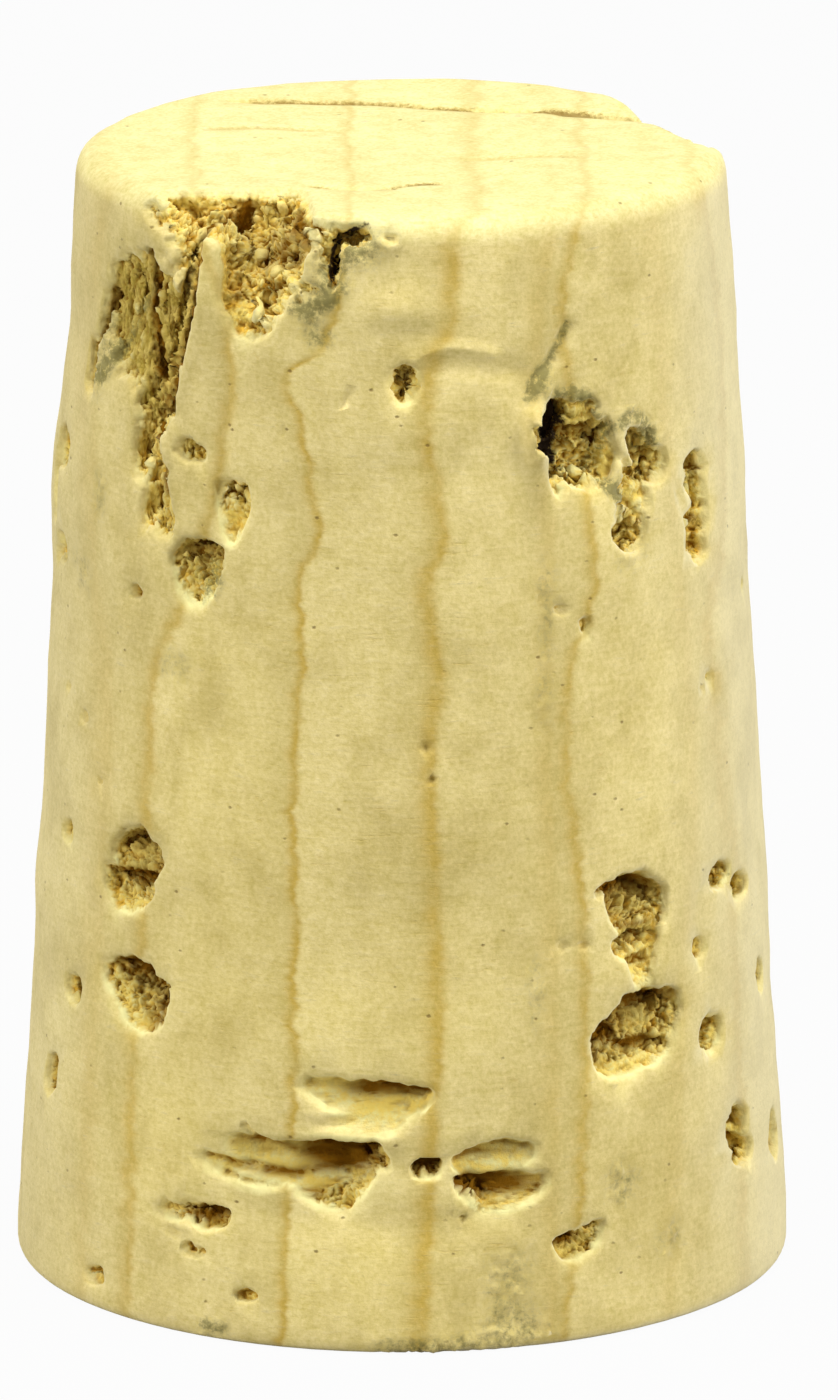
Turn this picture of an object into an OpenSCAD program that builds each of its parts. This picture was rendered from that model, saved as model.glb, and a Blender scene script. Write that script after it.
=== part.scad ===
// Tapered cork stopper
//
// One piece of natural cork. It stands on its large end, with the origin at the middle of that end
// and +Z along its axis. X runs along the tree's radius, so the yearly rings cross it and the
// pores run along it: they open as pits on the two sides and as long gouges on the front (-Y) and
// the back. Azimuths are counted from the front, positive towards +X. A level is a height above the
// large end, or below the small end where it is negative, so each group of marks keeps its own
// spacing when the stopper is made taller or shorter.

/* [Body] */
// Diameter of the large end
large_d = 26; // [22:0.5:34]
// Diameter of the small end
small_d = 21.5; // [18:0.5:30]
// Height from end to end
height = 38; // [30:1:60]
// Rounding of the edge of the large end
base_round = 0.4; // [0.2:0.1:1]
// Rounding of the edge of the small end
rim_round = 0.9; // [0.3:0.1:1.5]

/* [Pores] */
// Size of the pores, where 1 is this stopper's own
pore_size = 1; // [0.7:0.05:1.2]
// How far a pit runs on under the surface beyond its mouth
pore_run = 1.2; // [0.4:0.1:2.5]
// Unevenness of the pore walls, as a share of each pore's width
pore_rough = 0.24; // [0:0.02:0.3]

/* [Cracks] */
// Width of the open cracks
crack_w = 0.35; // [0.2:0.05:0.6]
// Depth of the open cracks below the surface
crack_depth = 1.3; // [0.6:0.1:2.5]

/* [Broken edges] */
// How far the broken rim at the front reaches in over the small end
break_reach = 4.4; // [2:0.1:6]
// Fall of the broken rim for each millimetre outwards
break_fall = 0.95; // [0.4:0.05:1.4]
// How far the chip at the back reaches in over the small end
chip_reach = 1.7; // [0.6:0.1:3]
// Depth of the crumbled hollows in the side
crumble_depth = 0.8; // [0.3:0.05:1.4]
// Unevenness of the broken surfaces
crumble_rough = 0.35; // [0:0.05:0.5]

/* [Hidden] */
$fn = 96;

// Steps of an edge rounding
ROUND_STEPS = 6;
// Distance between the rings of a pore, and the sides of a pore
RING_GAP = 0.6;
PORE_SIDES = 9;
// Pores smaller than this are specks, with fewer sides
SPECK = 0.75;
SPECK_SIDES = 6;
// How much of the unevenness of a pore changes along it, where the rest runs as ridges from end to end
WANDER = 0.3;
// Width of a pore's blunt tip, as a share of its full width
TIP = 0.25;
// Distance between the points of a crumbled surface
CRUMB_GAP = 0.55;
// How far each cutter stands out of the surface that it cuts
CLEAR = 0.8;
// How much of the turn of the wall a gouge follows
FOLLOW = 0.6;
// Width of a gouge across the wall, against its depth, and how far its middle lies under the wall
GOUGE_WIDTH = 1.7;
GOUGE_SUNK = 1 - GOUGE_WIDTH / 2;
// Turn of the split line across the small end, and its depth against its width
SPLIT_TURN = -6;
SPLIT_DEPTH = 0.7;
// The broken rim at the front: its two ends across X
BREAK_FROM = -8.6;
BREAK_TO = -2.8;
// The chip at the back: its azimuth, half its width, and its fall and unevenness against the broken rim's
CHIP_AZIMUTH = 115;
CHIP_HALF = 4.4;
CHIP_FALL = 0.75;
CHIP_ROUGH = 0.35;

// Pits on the sides: azimuth, level, width, height, run against pore_run
PITS = [
    // right side, the two large ones and the neck between them
    [39, 14.4, 1.7, 2.1, 1.6], [43, 13.1, 1.2, 1.2, 0.6], [41, 12.0, 0.5, 1.3, 0.2],
    [40, 10.3, 1.8, 2.0, 1.6], [36, 9.5, 1.3, 1.9, 1.0], [44, 9.1, 1.0, 1.2, 0.5],
    // right side, towards the edge
    [61, 14.4, 1.1, 0.8, 0.6], [68, 13.8, 1.2, 0.9, 0.8], [54, 12.4, 0.8, 0.9, 0.1],
    [56, 9.3, 1.2, 1.2, 0.8], [62, 5.8, 1.2, 1.3, 0.8], [64, 4.9, 1.3, 1.2, 0.8],
    [76, 10.3, 1.0, 1.3, 0.6], [78, 4.6, 1.2, 1.9, 0.6],
    // right side, the ladder of four
    [59, -9.4, 1.1, 0.8, 0.8], [59, -10.1, 1.2, 0.6, 0.6], [58, -11.2, 1.0, 0.8, 0.6],
    [58, -11.9, 1.1, 0.8, 0.8],
    // right side, the group below the rim
    [28, -7.4, 0.9, 1.7, 2.6], [33, -8.6, 1.4, 1.6, 0.8], [45, -8.2, 1.0, 1.2, 1.6],
    [47, -9.0, 1.2, 1.4, 0.6], [41, -11.1, 1.0, 1.4, 0.8],
    // left side
    [-46, 15.7, 1.7, 1.7, 1.4], [-49, 14.4, 1.4, 1.2, 0.5], [-38, 14.5, 0.4, 0.5, 0.2],
    [-45, 11.6, 1.9, 1.4, 1.5], [-44, 10.5, 1.4, 1.5, 1.0], [-51, 10.9, 1.0, 1.3, 0.2],
    [-63, 10.5, 1.1, 1.1, 0.6], [-69, 7.2, 1.1, 1.6, 0.6], [-68, 15.7, 0.8, 0.9, 0.3],
    [-53, 1.2, 1.0, 0.7, 0.4], [-38, -8.3, 0.7, 0.6, 0.4], [-29, -10.1, 0.7, 1.8, 0.3],
    [-35, -12.0, 1.2, 1.5, 0.8], [-78, -9.7, 1.6, 1.6, 0.4], [-77, -13.1, 1.2, 1.0, 0.4],
    // specks
    [58, -17.0, 0.4, 0.4, 0.1], [27, -13.2, 0.4, 0.5, 0.1], [26, 13.5, 0.3, 0.5, 0.1],
    [-63, 19.8, 0.5, 0.5, 0.2], [-49, -13.3, 0.6, 0.5, 0.2], [78, -14.4, 0.5, 0.6, 0.2],
    // back
    [112, -16.7, 1.5, 2.2, 1.0], [124, 11.4, 1.6, 1.8, 1.2], [138, -10.8, 1.3, 1.6, 1.0],
    [-112, 12.5, 1.6, 2.4, 1.2], [-128, -14.8, 1.4, 1.7, 1.0], [-140, 7.2, 1.5, 1.5, 1.0]
];

// Gouges along the front: middle across X, level, length, height, depth, rise towards +X in degrees
FRONT_GOUGES = [
    [-1.3, 8.6, 4.8, 0.95, 0.95, -3], [-2.5, 7.0, 4.9, 1.05, 1.30, 13], [-2.0, 6.0, 2.4, 1.20, 1.70, 4],
    [-3.0, 5.3, 2.9, 0.95, 1.20, 6], [-5.4, 5.8, 3.0, 1.00, 0.80, 4], [0.9, 6.3, 1.5, 0.80, 1.00, 10],
    [2.6, 6.7, 3.6, 0.60, 0.60, 0], [3.1, 5.4, 3.2, 1.00, 1.20, -4], [1.6, 5.9, 0.8, 0.90, 1.00, 0],
    [-6.5, 4.0, 3.7, 0.80, 0.80, 16], [5.9, 3.3, 2.0, 0.85, 0.90, 0], [0.1, -5.5, 0.9, 1.10, 0.60, 0],
    [-5.2, 1.7, 1.1, 0.50, 0.30, 0], [0.8, 20.5, 0.4, 0.35, 0.25, 0], [-1.6, -0.6, 1.3, 0.70, 1.40, 0]
];

// Gouges along the back, in the same form
BACK_GOUGES = [
    [-3.2, -6.8, 4.4, 0.90, 1.10, 0], [2.4, 16.7, 3.8, 0.80, 0.90, 0], [-1.0, 15.4, 2.6, 0.90, 1.10, 0],
    [3.6, 4.9, 4.6, 1.00, 1.20, 0], [-4.6, 9.3, 2.2, 0.70, 0.60, 0], [0.6, -13.7, 1.0, 0.50, 0.40, 0]
];

// Pores laid open in the small end: middle across X and Y as shares of its radius, length, width
END_GOUGES = [[-0.02, 0.56, 3.6, 0.22], [0.32, 0.52, 3.0, 0.30], [0.58, 0.42, 2.8, 0.40],
    [0.27, 0.37, 0.5, 0.35], [-0.12, -0.58, 3.8, 0.25]];

// Cracks down the side: azimuth, level, length, lean, depth against crack_depth
CRACKS = [[-48.5, -4.9, 4.8, 0, 1.2], [-41.5, -4.0, 6.4, 8, 0.8], [-66.5, -6.4, 2.4, -3, 0.6],
    [-11.5, -1.3, 2.0, 4, 1.2]];

// Crumbled hollows in the side: azimuth, level, width, height, depth against crumble_depth
HOLLOWS = [[-27, -2.8, 3.4, 4.6, 1.2], [-45, -4.8, 1.8, 7.0, 0.9], [-57, -3.6, 1.6, 3.2, 0.5],
    [-47.5, -7.6, 1.6, 2.4, 1.0], [-50, -8.7, 1.1, 3.2, 0.9], [-47.5, -10.4, 0.9, 2.8, 0.9],
    [33, -8.2, 3.4, 3.8, 0.8], [43, -9.7, 2.0, 3.6, 0.6], [-34, -11.8, 2.4, 2.6, 0.6]];

function height_of(level) = level < 0 ? height + level : level;
function wall_r(z) = large_d / 2 - (large_d - small_d) / 2 * z / height;
function polar(r, azimuth, z) = [r * sin(azimuth), -r * cos(azimuth), z];
function unit(v) = v / norm(v);
function mean(points) = [for (p = points) 1] * points / len(points);

// Points of an arc of radius r that rounds the corner at p between the points before and after it
function rounding(before, p, after, r) =
    let (a = unit(before - p), b = unit(after - p), half = acos(a * b) / 2,
         centre = p + unit(a + b) * r / sin(half), from = p + a * r / tan(half) - centre,
         to = p + b * r / tan(half) - centre, turn = 180 - 2 * half)
    [for (i = [0:ROUND_STEPS]) let (q = turn * i / ROUND_STEPS)
        centre + (from * sin(turn - q) + to * sin(q)) / sin(turn)];

// The turned body: a tapered plug with a small rounding at each end
module turned_body() {
    foot = [large_d / 2, 0];
    rim = [small_d / 2, height];
    rotate_extrude()
        polygon(concat([[0, 0]], rounding([0, 0], foot, rim, base_round),
            rounding(foot, rim, [0, height], rim_round), [[0, height]]));
}

// A closed skin over rings of points, with a fan at each end
module skin(rings) {
    n = len(rings[0]);
    m = len(rings);
    points = concat([for (ring = rings) for (p = ring) p], [mean(rings[0]), mean(rings[m - 1])]);
    sides = [for (i = [0:m - 2]) for (j = [0:n - 1]) let (k = (j + 1) % n)
        each [[i * n + j, (i + 1) * n + j, i * n + k], [i * n + k, (i + 1) * n + j, (i + 1) * n + k]]];
    ends = [for (j = [0:n - 1]) let (k = (j + 1) % n)
        each [[m * n, j, k], [m * n + 1, (m - 1) * n + k, (m - 1) * n + j]]];
    polyhedron(points, concat(sides, ends), convexity = 4);
}

// A pore: a ridged, lumpy rod along X with rounded ends, as wide along Y and as tall along Z as given
module pore(length, width, tall, seed) {
    steps = max(4, ceil(length / RING_GAP));
    sides = max(width, tall) < SPECK ? SPECK_SIDES : PORE_SIDES;
    ridges = rands(1 - pore_rough, 1 + pore_rough, sides, seed);
    skin([for (i = [0:steps])
        let (t = 2 * i / steps - 1, swell = max(TIP, sqrt(1 - pow(t, 4))),
             lumps = rands(-WANDER * pore_rough, WANDER * pore_rough, sides, seed + i + 1))
        [for (j = [0:sides - 1]) let (q = 360 * j / sides, s = swell * (ridges[j] + lumps[j]) / 2)
            [t * length / 2, s * width * cos(q), s * tall * sin(q)]]]);
}

// A pore that opens on the side and runs on under the surface
module pit(azimuth, level, width, tall, run, seed) {
    z = height_of(level);
    r = wall_r(z);
    w = width * pore_size;
    side = azimuth < 0 ? -1 : 1;
    inset = abs(r * cos(azimuth));
    inner = sqrt(max(0, pow(r, 2) - pow(inset + w / 2, 2))) - run * pore_run;
    outer = sqrt(pow(r, 2) - pow(max(0, inset - w / 2), 2)) + CLEAR;
    translate([side * (inner + outer) / 2, -r * cos(azimuth), z])
        pore(outer - inner, w, tall * pore_size, seed);
}

// A pore laid open lengthwise, on the front for face -1 and on the back for face 1
module gouge(x, level, length, tall, depth, lean, face, seed) {
    z = height_of(level);
    azimuth = asin(x / wall_r(z));
    translate([x, face * (wall_r(z) * cos(azimuth) - GOUGE_SUNK * depth), z])
        rotate([0, -lean, -face * FOLLOW * azimuth])
            pore(length * pore_size, GOUGE_WIDTH * depth, tall * pore_size, seed);
}

// A pore laid open in the small end
module end_gouge(x, y, length, width, seed) {
    translate([x * small_d / 2, y * small_d / 2, height])
        rotate([0, 0, SPLIT_TURN])
            pore(length * pore_size, width, 2 * SPLIT_DEPTH * width, seed);
}

// A crack down the side, square to X, with wavy walls
module crack(azimuth, level, length, lean, depth, seed) {
    z = height_of(level);
    taper = atan((large_d - small_d) / 2 / height);
    translate(polar(wall_r(z), azimuth, z))
        rotate([-taper * cos(azimuth), -taper * sin(azimuth), 0])
            rotate([0, 90 + lean, 0])
                pore(length, 2 * depth * crack_depth, crack_w, seed);
}

// A closed solid between a grid of inner points and a grid of outer points of the same size
module slab(inner, outer) {
    m = len(inner);
    n = len(inner[0]);
    back = m * n;
    points = concat([for (row = inner) for (p = row) p], [for (row = outer) for (p = row) p]);
    cells = [for (i = [0:m - 2]) for (j = [0:n - 2]) let (a = i * n + j, b = a + 1, c = a + n, d = c + 1)
        each [[a, b, c], [b, d, c], [back + a, back + c, back + b], [back + b, back + c, back + d]]];
    edge = concat([for (j = [0:n - 2]) j], [for (i = [0:m - 2]) i * n + n - 1],
        [for (j = [n - 1:-1:1]) (m - 1) * n + j], [for (i = [m - 1:-1:1]) i * n]);
    walls = [for (i = [0:len(edge) - 1]) let (a = edge[i], b = edge[(i + 1) % len(edge)])
        each [[b, a, back + a], [b, back + a, back + b]]];
    polyhedron(points, concat(cells, walls), convexity = 6);
}

// How deep a hollow is across its span, from -1 at its edges to 1 in the middle
function dish(s, t) = 1 - 2 * min(1, pow(2 * s - 1, 2) + pow(2 * t - 1, 2));

// A crumbled hollow in the side
module hollow(azimuth, level, width, tall, depth, seed) {
    middle = height_of(level);
    across = max(3, round(width / CRUMB_GAP));
    up = max(3, round(tall / CRUMB_GAP));
    bumps = [for (i = [0:up]) rands(-crumble_rough, crumble_rough, across + 1, seed + i)];
    span = width / wall_r(middle) * 180 / PI;
    grid = [for (i = [0:up]) [for (j = [0:across]) [j / across, i / up, bumps[i][j]]]];
    slab([for (row = grid) [for (g = row)
            let (z = middle + (g[1] - 0.5) * tall, d = dish(g[0], g[1]),
                 sunk = depth * crumble_depth * d + max(0, d) * g[2])
            polar(wall_r(z) - sunk, azimuth + (g[0] - 0.5) * span, z)]],
        [for (row = grid) [for (g = row) let (z = middle + (g[1] - 0.5) * tall)
            polar(wall_r(z) + depth * crumble_depth + CLEAR, azimuth + (g[0] - 0.5) * span, z)]]);
}

// Material broken from the rim outside a straight line that crosses the small end
module rim_break(azimuth, reach, from, to, fall, rough, seed) {
    across = round((to - from) / CRUMB_GAP);
    out = round((reach + CLEAR) / CRUMB_GAP);
    line = small_d / 2 - reach;
    bumps = [for (i = [0:out]) rands(-rough, rough, across + 1, seed + i)];
    grid = [for (i = [out:-1:0]) [for (j = [0:across])
        let (s = j / across, v = i / out * (reach + CLEAR), open = 1 - pow(2 * s - 1, 4))
        [from + s * (to - from), -line - v, rough - (2 * rough + fall * v - bumps[i][j]) * open]]];
    translate([0, 0, height])
        rotate([0, 0, azimuth])
            slab(grid, [for (row = grid) [for (p = row) [p[0], p[1], 2 * rough + CLEAR]]]);
}

// The stopper: the turned body less its pores, cracks, hollows and broken rim
module stopper() {
    color("burlywood")
        difference() {
            turned_body();
            for (i = [0:len(PITS) - 1]) let (p = PITS[i])
                pit(p[0], p[1], p[2], p[3], p[4], 100 + 20 * i);
            for (i = [0:len(FRONT_GOUGES) - 1]) let (g = FRONT_GOUGES[i])
                gouge(g[0], g[1], g[2], g[3], g[4], g[5], -1, 1500 + 20 * i);
            for (i = [0:len(BACK_GOUGES) - 1]) let (g = BACK_GOUGES[i])
                gouge(g[0], g[1], g[2], g[3], g[4], g[5], 1, 2000 + 20 * i);
            for (i = [0:len(END_GOUGES) - 1]) let (g = END_GOUGES[i])
                end_gouge(g[0], g[1], g[2], g[3], 2500 + 20 * i);
            for (i = [0:len(CRACKS) - 1]) let (c = CRACKS[i])
                crack(c[0], c[1], c[2], c[3], c[4], 3000 + 20 * i);
            for (i = [0:len(HOLLOWS) - 1]) let (h = HOLLOWS[i])
                hollow(h[0], h[1], h[2], h[3], h[4], 3500 + 20 * i);
            rim_break(0, break_reach, BREAK_FROM, BREAK_TO, break_fall, crumble_rough, 4000);
            rim_break(CHIP_AZIMUTH, chip_reach, -CHIP_HALF, CHIP_HALF, CHIP_FALL * break_fall,
                CHIP_ROUGH * crumble_rough, 4100);
        }
}

stopper();
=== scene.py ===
"""Cork stopper: the finish of one piece of natural cork, built around its solid."""
import math
import random

import bmesh
import bpy
import numpy as np
from bpy.props import FloatProperty, FloatVectorProperty, IntProperty, PointerProperty
from mathutils import Euler, Matrix, Vector, noise
from mathutils.bvhtree import BVHTree


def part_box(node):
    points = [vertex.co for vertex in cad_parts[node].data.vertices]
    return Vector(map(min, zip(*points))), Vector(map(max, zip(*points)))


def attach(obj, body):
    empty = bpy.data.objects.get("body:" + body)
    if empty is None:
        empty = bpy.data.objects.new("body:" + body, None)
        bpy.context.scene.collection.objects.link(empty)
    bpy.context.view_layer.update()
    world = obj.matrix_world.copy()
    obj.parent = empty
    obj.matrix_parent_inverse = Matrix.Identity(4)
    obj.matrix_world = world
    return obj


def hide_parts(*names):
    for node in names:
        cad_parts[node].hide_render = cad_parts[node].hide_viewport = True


bl_info = {
    "name": "Cork Stopper",
    "version": (1, 0, 0),
    "blender": (4, 5, 0),
    "location": "3D View > Sidebar > Cork",
    "description": "Finish of a tapered stopper of natural cork",
    "category": "Object",
}

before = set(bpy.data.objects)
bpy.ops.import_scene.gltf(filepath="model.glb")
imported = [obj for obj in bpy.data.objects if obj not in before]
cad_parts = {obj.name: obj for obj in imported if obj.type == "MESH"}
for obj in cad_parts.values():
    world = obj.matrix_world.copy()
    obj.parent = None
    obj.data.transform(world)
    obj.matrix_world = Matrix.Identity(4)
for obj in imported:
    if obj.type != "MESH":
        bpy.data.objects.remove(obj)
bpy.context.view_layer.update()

# Everything below is worked out in millimetres and turned into metres at the end.
MM = 0.001
NODE = "stopper"
LOW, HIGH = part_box(NODE)
HEIGHT = (HIGH.z - LOW.z) / MM

# How far the wall leans out of line before a point counts as part of the rim's rounding
RIM_BIAS = 0.1
# Rounding of the small end's rim
RIM_ROUND = 0.9


def wall_line():
    """Radius of the whole wall at height 0, and how much it loses for each millimetre upwards."""
    points = np.array([vertex.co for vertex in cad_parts[NODE].data.vertices]) / MM
    radius = np.hypot(points[:, 0], points[:, 1])
    low = int(np.argmax(radius))
    high = int(np.argmax(radius + RIM_BIAS * points[:, 2]))
    slope = (radius[low] - radius[high]) / (points[high, 2] - points[low, 2])
    return radius[low] + slope * points[low, 2], slope


WALL_R, WALL_SLOPE = wall_line()
TAPER = math.cos(math.atan(WALL_SLOPE))


def wall_radius(z):
    return WALL_R - WALL_SLOPE * z


def on_wall(azimuth, z):
    """The point of the wall at this azimuth, counted from the front towards +X, and this height."""
    angle = math.radians(azimuth)
    radius = wall_radius(z)
    return Vector((radius * math.sin(angle), -radius * math.cos(angle), z))


# ---------------------------------------------------------------- settings

def number(name, description, default, **limits):
    return FloatProperty(name=name, description=description, default=default, **limits)


def colour(name, description, default):
    return FloatVectorProperty(name=name, description=description, default=default, size=3,
                               subtype="COLOR", min=0.0, max=1.0)


class CorkSizes(bpy.types.PropertyGroup):
    """Sizes of the cork's relief, in millimetres."""
    voxel: number("Mesh step", "Spacing of the mesh before it is thinned, in mm", 0.09, min=0.08)
    triangles: IntProperty(name="Triangles", description="Triangles kept after thinning",
                           default=190000, min=20000, max=199000)
    grain: number("Crumb size", "Size of the crumbs inside the pores, in mm", 0.62, min=0.1)
    crumble: number("Crumb height", "Height of the crumbs inside the pores, in mm", 0.32, min=0.0)
    wear: number("Wear", "How deep the mouths of the pores are worn away, in mm", 0.42, min=0.0)
    wave: number("Waviness", "Height of the wall's soft unevenness, in mm", 0.09, min=0.0)
    lip: number("Lip", "How far the skin sinks towards the mouth of a pore, in mm", 0.06, min=0.0)
    apron: number("Apron", "How far the skin sinks below the mouth of a pore, in mm", 0.32, min=0.0)
    undercut: number("Undercut", "How far the pores widen under their mouths, in mm", 0.28, min=0.0)


class CorkColours(bpy.types.PropertyGroup):
    """Colours of the cork."""
    body: colour("Body", "Cream body of the cork", (0.87, 0.72, 0.30))
    # Paler small end: partly its own colour and partly a painted highlight of the lit end
    end: colour("End", "Paler cut end", (0.86, 0.77, 0.345))
    ring: colour("Ring", "Tan line of a year's growth", (0.60, 0.42, 0.085))
    shade: colour("Late growth", "Darker cork before a ring", (0.66, 0.53, 0.19))
    dirt: colour("Dirt", "Dull streaks rubbed into the skin", (0.42, 0.35, 0.16))
    # Painted highlight on the tops of the crumbs
    crumb_highlight: colour("Fresh cork", "Pale tops of the crumbs", (1.0, 0.91, 0.38))
    # Crumb and amber make the lit copy of the cork on the floors of the pores, and fibre and olive its shaded
    # copy, painted shade on their walls and under their tops
    crumb: colour("Crumb", "Loose cork inside a pore", (1.0, 0.755, 0.165))
    amber: colour("Amber", "Darker, more orange crumbs", (0.84, 0.49, 0.045))
    # Brown painted shade in the creases, hollows, cracks and deep places of the cork
    crevice: colour("Crevice", "Brown between the crumbs", (0.26, 0.115, 0.004))
    fibre: colour("Fibre", "Tan walls of the pores", (0.66, 0.50, 0.125))
    olive: colour("Olive", "Darker walls of the pores", (0.42, 0.30, 0.045))
    # Painted highlight under the mouths of the pores and on the lower slopes of the scooped pores
    lip: colour("Lip", "Pale cork under the mouth of a pore", (1.0, 0.92, 0.41))
    stain: colour("Stain", "Grey-green stain", (0.21, 0.185, 0.055))
    # Blackened cork, and black painted shade in deep holes
    soot: colour("Soot", "Blackened cork", (0.030, 0.018, 0.010))
    speck: colour("Speck", "Small dark pore", (0.24, 0.15, 0.04))


class StudioSettings(bpy.types.PropertyGroup):
    """Camera and light."""
    elevation: number("Elevation", "Height of the camera above level", math.radians(15.05), subtype="ANGLE")
    distance: number("Distance", "Camera to the stopper's middle", 0.539, unit="LENGTH")
    lens: number("Lens", "Focal length in mm", 413.9)
    world: number("Surroundings", "Strength of the white surroundings", 0.27)
    key: number("Overhead light", "Power of the light overhead, in watts", 1.32)
    right: number("Right light", "Power of the light at the right, in watts", 1.40)
    left: number("Left light", "Power of the light at the left, in watts", 1.20)


# ---------------------------------------------------------------- shader maths

class Wire:
    """An output socket that Python's operators can work on."""

    def __init__(self, surface, socket):
        self.surface = surface
        self.socket = socket

    def other(self, name):
        """Another output of the same node."""
        return Wire(self.surface, self.socket.node.outputs[name])

    def math(self, operation, *values):
        return self.surface.add("Math", {"operation": operation}, dict(enumerate((self, *values))))

    def __add__(self, other):
        return self.math("ADD", other)

    def __sub__(self, other):
        return self.math("SUBTRACT", other)

    def __rsub__(self, other):
        return (self * -1.0) + other

    def __mul__(self, other):
        return self.math("MULTIPLY", other)

    def __truediv__(self, other):
        return self.math("DIVIDE", other)

    def __gt__(self, other):
        return self.math("GREATER_THAN", other)

    __radd__ = __add__
    __rmul__ = __mul__


class Surface:
    """The nodes of a material or of the surroundings, and the one way they are made."""

    def __init__(self, owner):
        self.owner = owner
        owner.use_nodes = True
        self.tree = owner.node_tree
        self.tree.nodes.clear()

    def add(self, kind, settings=(), inputs=(), output=0):
        node = self.tree.nodes.new("ShaderNode" + kind)
        for name, value in dict(settings).items():
            if name == "points":
                self.draw_curve(node, value)
            else:
                setattr(node, name, value)
        for name, value in dict(inputs).items():
            if isinstance(value, Wire):
                self.tree.links.new(value.socket, node.inputs[name])
            else:
                node.inputs[name].default_value = value
        return Wire(self, node.outputs[output]) if len(node.outputs) else None

    @staticmethod
    def draw_curve(node, points):
        curve = node.mapping.curves[0]
        while len(curve.points) < len(points):
            curve.points.new(0.5, 0.5)
        for point, place in zip(curve.points, points):
            point.location = place
            point.handle_type = "AUTO"
        node.mapping.update()

    def mix(self, factor, first, second):
        """Mixes two colours; a plain colour is given as three numbers."""
        first, second = (c if isinstance(c, Wire) else (*c, 1.0) for c in (first, second))
        return self.add("Mix", {"data_type": "RGBA", "clamp_factor": True},
                        {0: factor, 6: first, 7: second}, output=2)

    def layered(self, base, *layers):
        """Lays colours over a base one after another, each by its mask."""
        for mask, shade in layers:
            base = self.mix(mask, base, shade)
        return base

    def smooth(self, value, low, high, start=0.0, end=1.0):
        return self.add("MapRange", {"interpolation_type": "SMOOTHSTEP"},
                        {"Value": value, "From Min": low, "From Max": high, "To Min": start, "To Max": end})

    def stretch(self, vector, waves):
        return self.add("VectorMath", {"operation": "MULTIPLY"}, {0: vector, 1: waves})

    def noise(self, vector, waves, detail, rough):
        """Noise with so many waves to the unit along X, Y and Z."""
        return self.add("TexNoise", {"noise_dimensions": "3D"}, {
            "Vector": self.stretch(vector, waves), "Scale": 1.0, "Detail": detail, "Roughness": rough})

    def attribute(self, name):
        return self.add("Attribute", {"attribute_type": "GEOMETRY", "attribute_name": name}, output=2)


# ---------------------------------------------------------------- growth rings

# Each ring: width of its soft side, strength, and its course as (height, place across X) in mm
RINGS = [
    (0.22, 1.0, [(0, -4.0), (4.4, -3.8), (7.8, -3.6), (13.6, -3.5), (20, -3.5), (22, -3.35), (24, -3.2),
                  (25.8, -3.35), (27.3, -2.7), (29.3, -2.95), (31, -3.25), (32.7, -3.6), (33.6, -2.6),
                  (34.8, -2.2), (36.5, -2.0), (38, -1.7)]),
    (0.42, 0.95, [(0, 0.6), (3.6, 0.8), (7.6, 1.0), (10.3, 1.2), (13.7, 1.2), (17, 1.1), (20, 0.9),
                  (22, 1.25), (23.7, 1.15), (26, 0.85), (27.2, 1.3), (28.7, 1.15), (31.4, 0.85),
                  (33, 1.0), (34.8, 1.75), (37.3, 1.7), (38, 2.5)]),
    (0.25, 0.90, [(0, 5.3), (2.2, 5.6), (6.5, 6.0), (13.3, 6.0), (16.3, 5.8), (18.4, 5.5), (21, 5.4),
                  (23, 5.6), (24.3, 6.15), (26.3, 6.3), (29, 6.0), (33, 5.4), (35, 5.3), (36.5, 5.5),
                  (38, 6.1)]),
    (0.40, 0.35, [(0, 5.0), (12, 5.0), (15, 4.95), (18.5, 4.8), (22, 4.7), (27, 4.8), (32, 4.4), (38, 4.9)]),
    (0.28, 0.80, [(0, -9.2), (2, -9.1), (6, -8.95), (9.3, -8.85), (16.8, -8.4), (20, -8.25), (22.6, -7.95),
                  (24, -7.4), (25.6, -6.8), (29.5, -5.9), (33.8, -5.6), (36, -6.2), (38, -6.9)]),
    (0.25, 0.60, [(0, 11.3), (8, 11.1), (12, 11.0), (15, 11.0), (18.3, 10.6), (21, 10.4), (23.2, 10.1),
                  (25, 10.4), (27.5, 10.5), (30, 10.6), (33, 10.5), (35, 10.3), (38, 9.6)]),
    (0.40, 0.35, [(0, -10.6), (8, -10.3), (14, -10.0), (20, -9.8), (26, -10.2), (32, -10.4), (38, -9.8)]),
    (0.40, 0.25, [(0, 9.0), (10, 9.2), (18, 9.6), (26, 9.0), (32, 8.4), (38, 8.2)]),
]
# Sharpness of a ring's outer side against its soft side
RING_EDGE = 1.8
# Width of the darker late growth before a ring, and its strength
LATE_WIDTH = 1.3
LATE_STRENGTH = 0.55


def ring_masks(surface, across, height, wobble):
    """The line of each ring and the darker late growth before it, as two masks."""
    line, late = None, None
    across_wall = 2 * WALL_R
    for width, strength, course in RINGS:
        points = [(z / HEIGHT, 0.5 + x / across_wall) for z, x in course]
        route = surface.add("FloatCurve", {"points": points}, {"Value": height / HEIGHT})
        offset = across - (route - 0.5) * across_wall - wobble
        outside = offset > 0.0
        near = offset * (outside * (RING_EDGE - 1.0) + 1.0)
        thin = (near * near * (-1.0 / width ** 2)).math("EXPONENT") * strength
        broad = (offset * offset * (-1.0 / LATE_WIDTH ** 2)).math("EXPONENT")
        broad = broad * (1.0 - outside) * (strength * LATE_STRENGTH)
        line = thin if line is None else line.math("MAXIMUM", thin)
        late = broad if late is None else late.math("MAXIMUM", broad)
    return line, late


# What the mesh stores at each of its points for the material, which reads it in this order. The creases,
# ridges, floors and lips carry painted shade and painted light, and so do most of the clouds and part of the
# blackening.
PAINTS = ("broken", "crevice", "ridge", "floor", "fibre", "lip", "shaded", "stain", "soot")
# Colour of the painted sheen that the skin turns to where it is seen edge on
SHEEN_COLOUR = (0.89, 0.83, 0.60)


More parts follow.
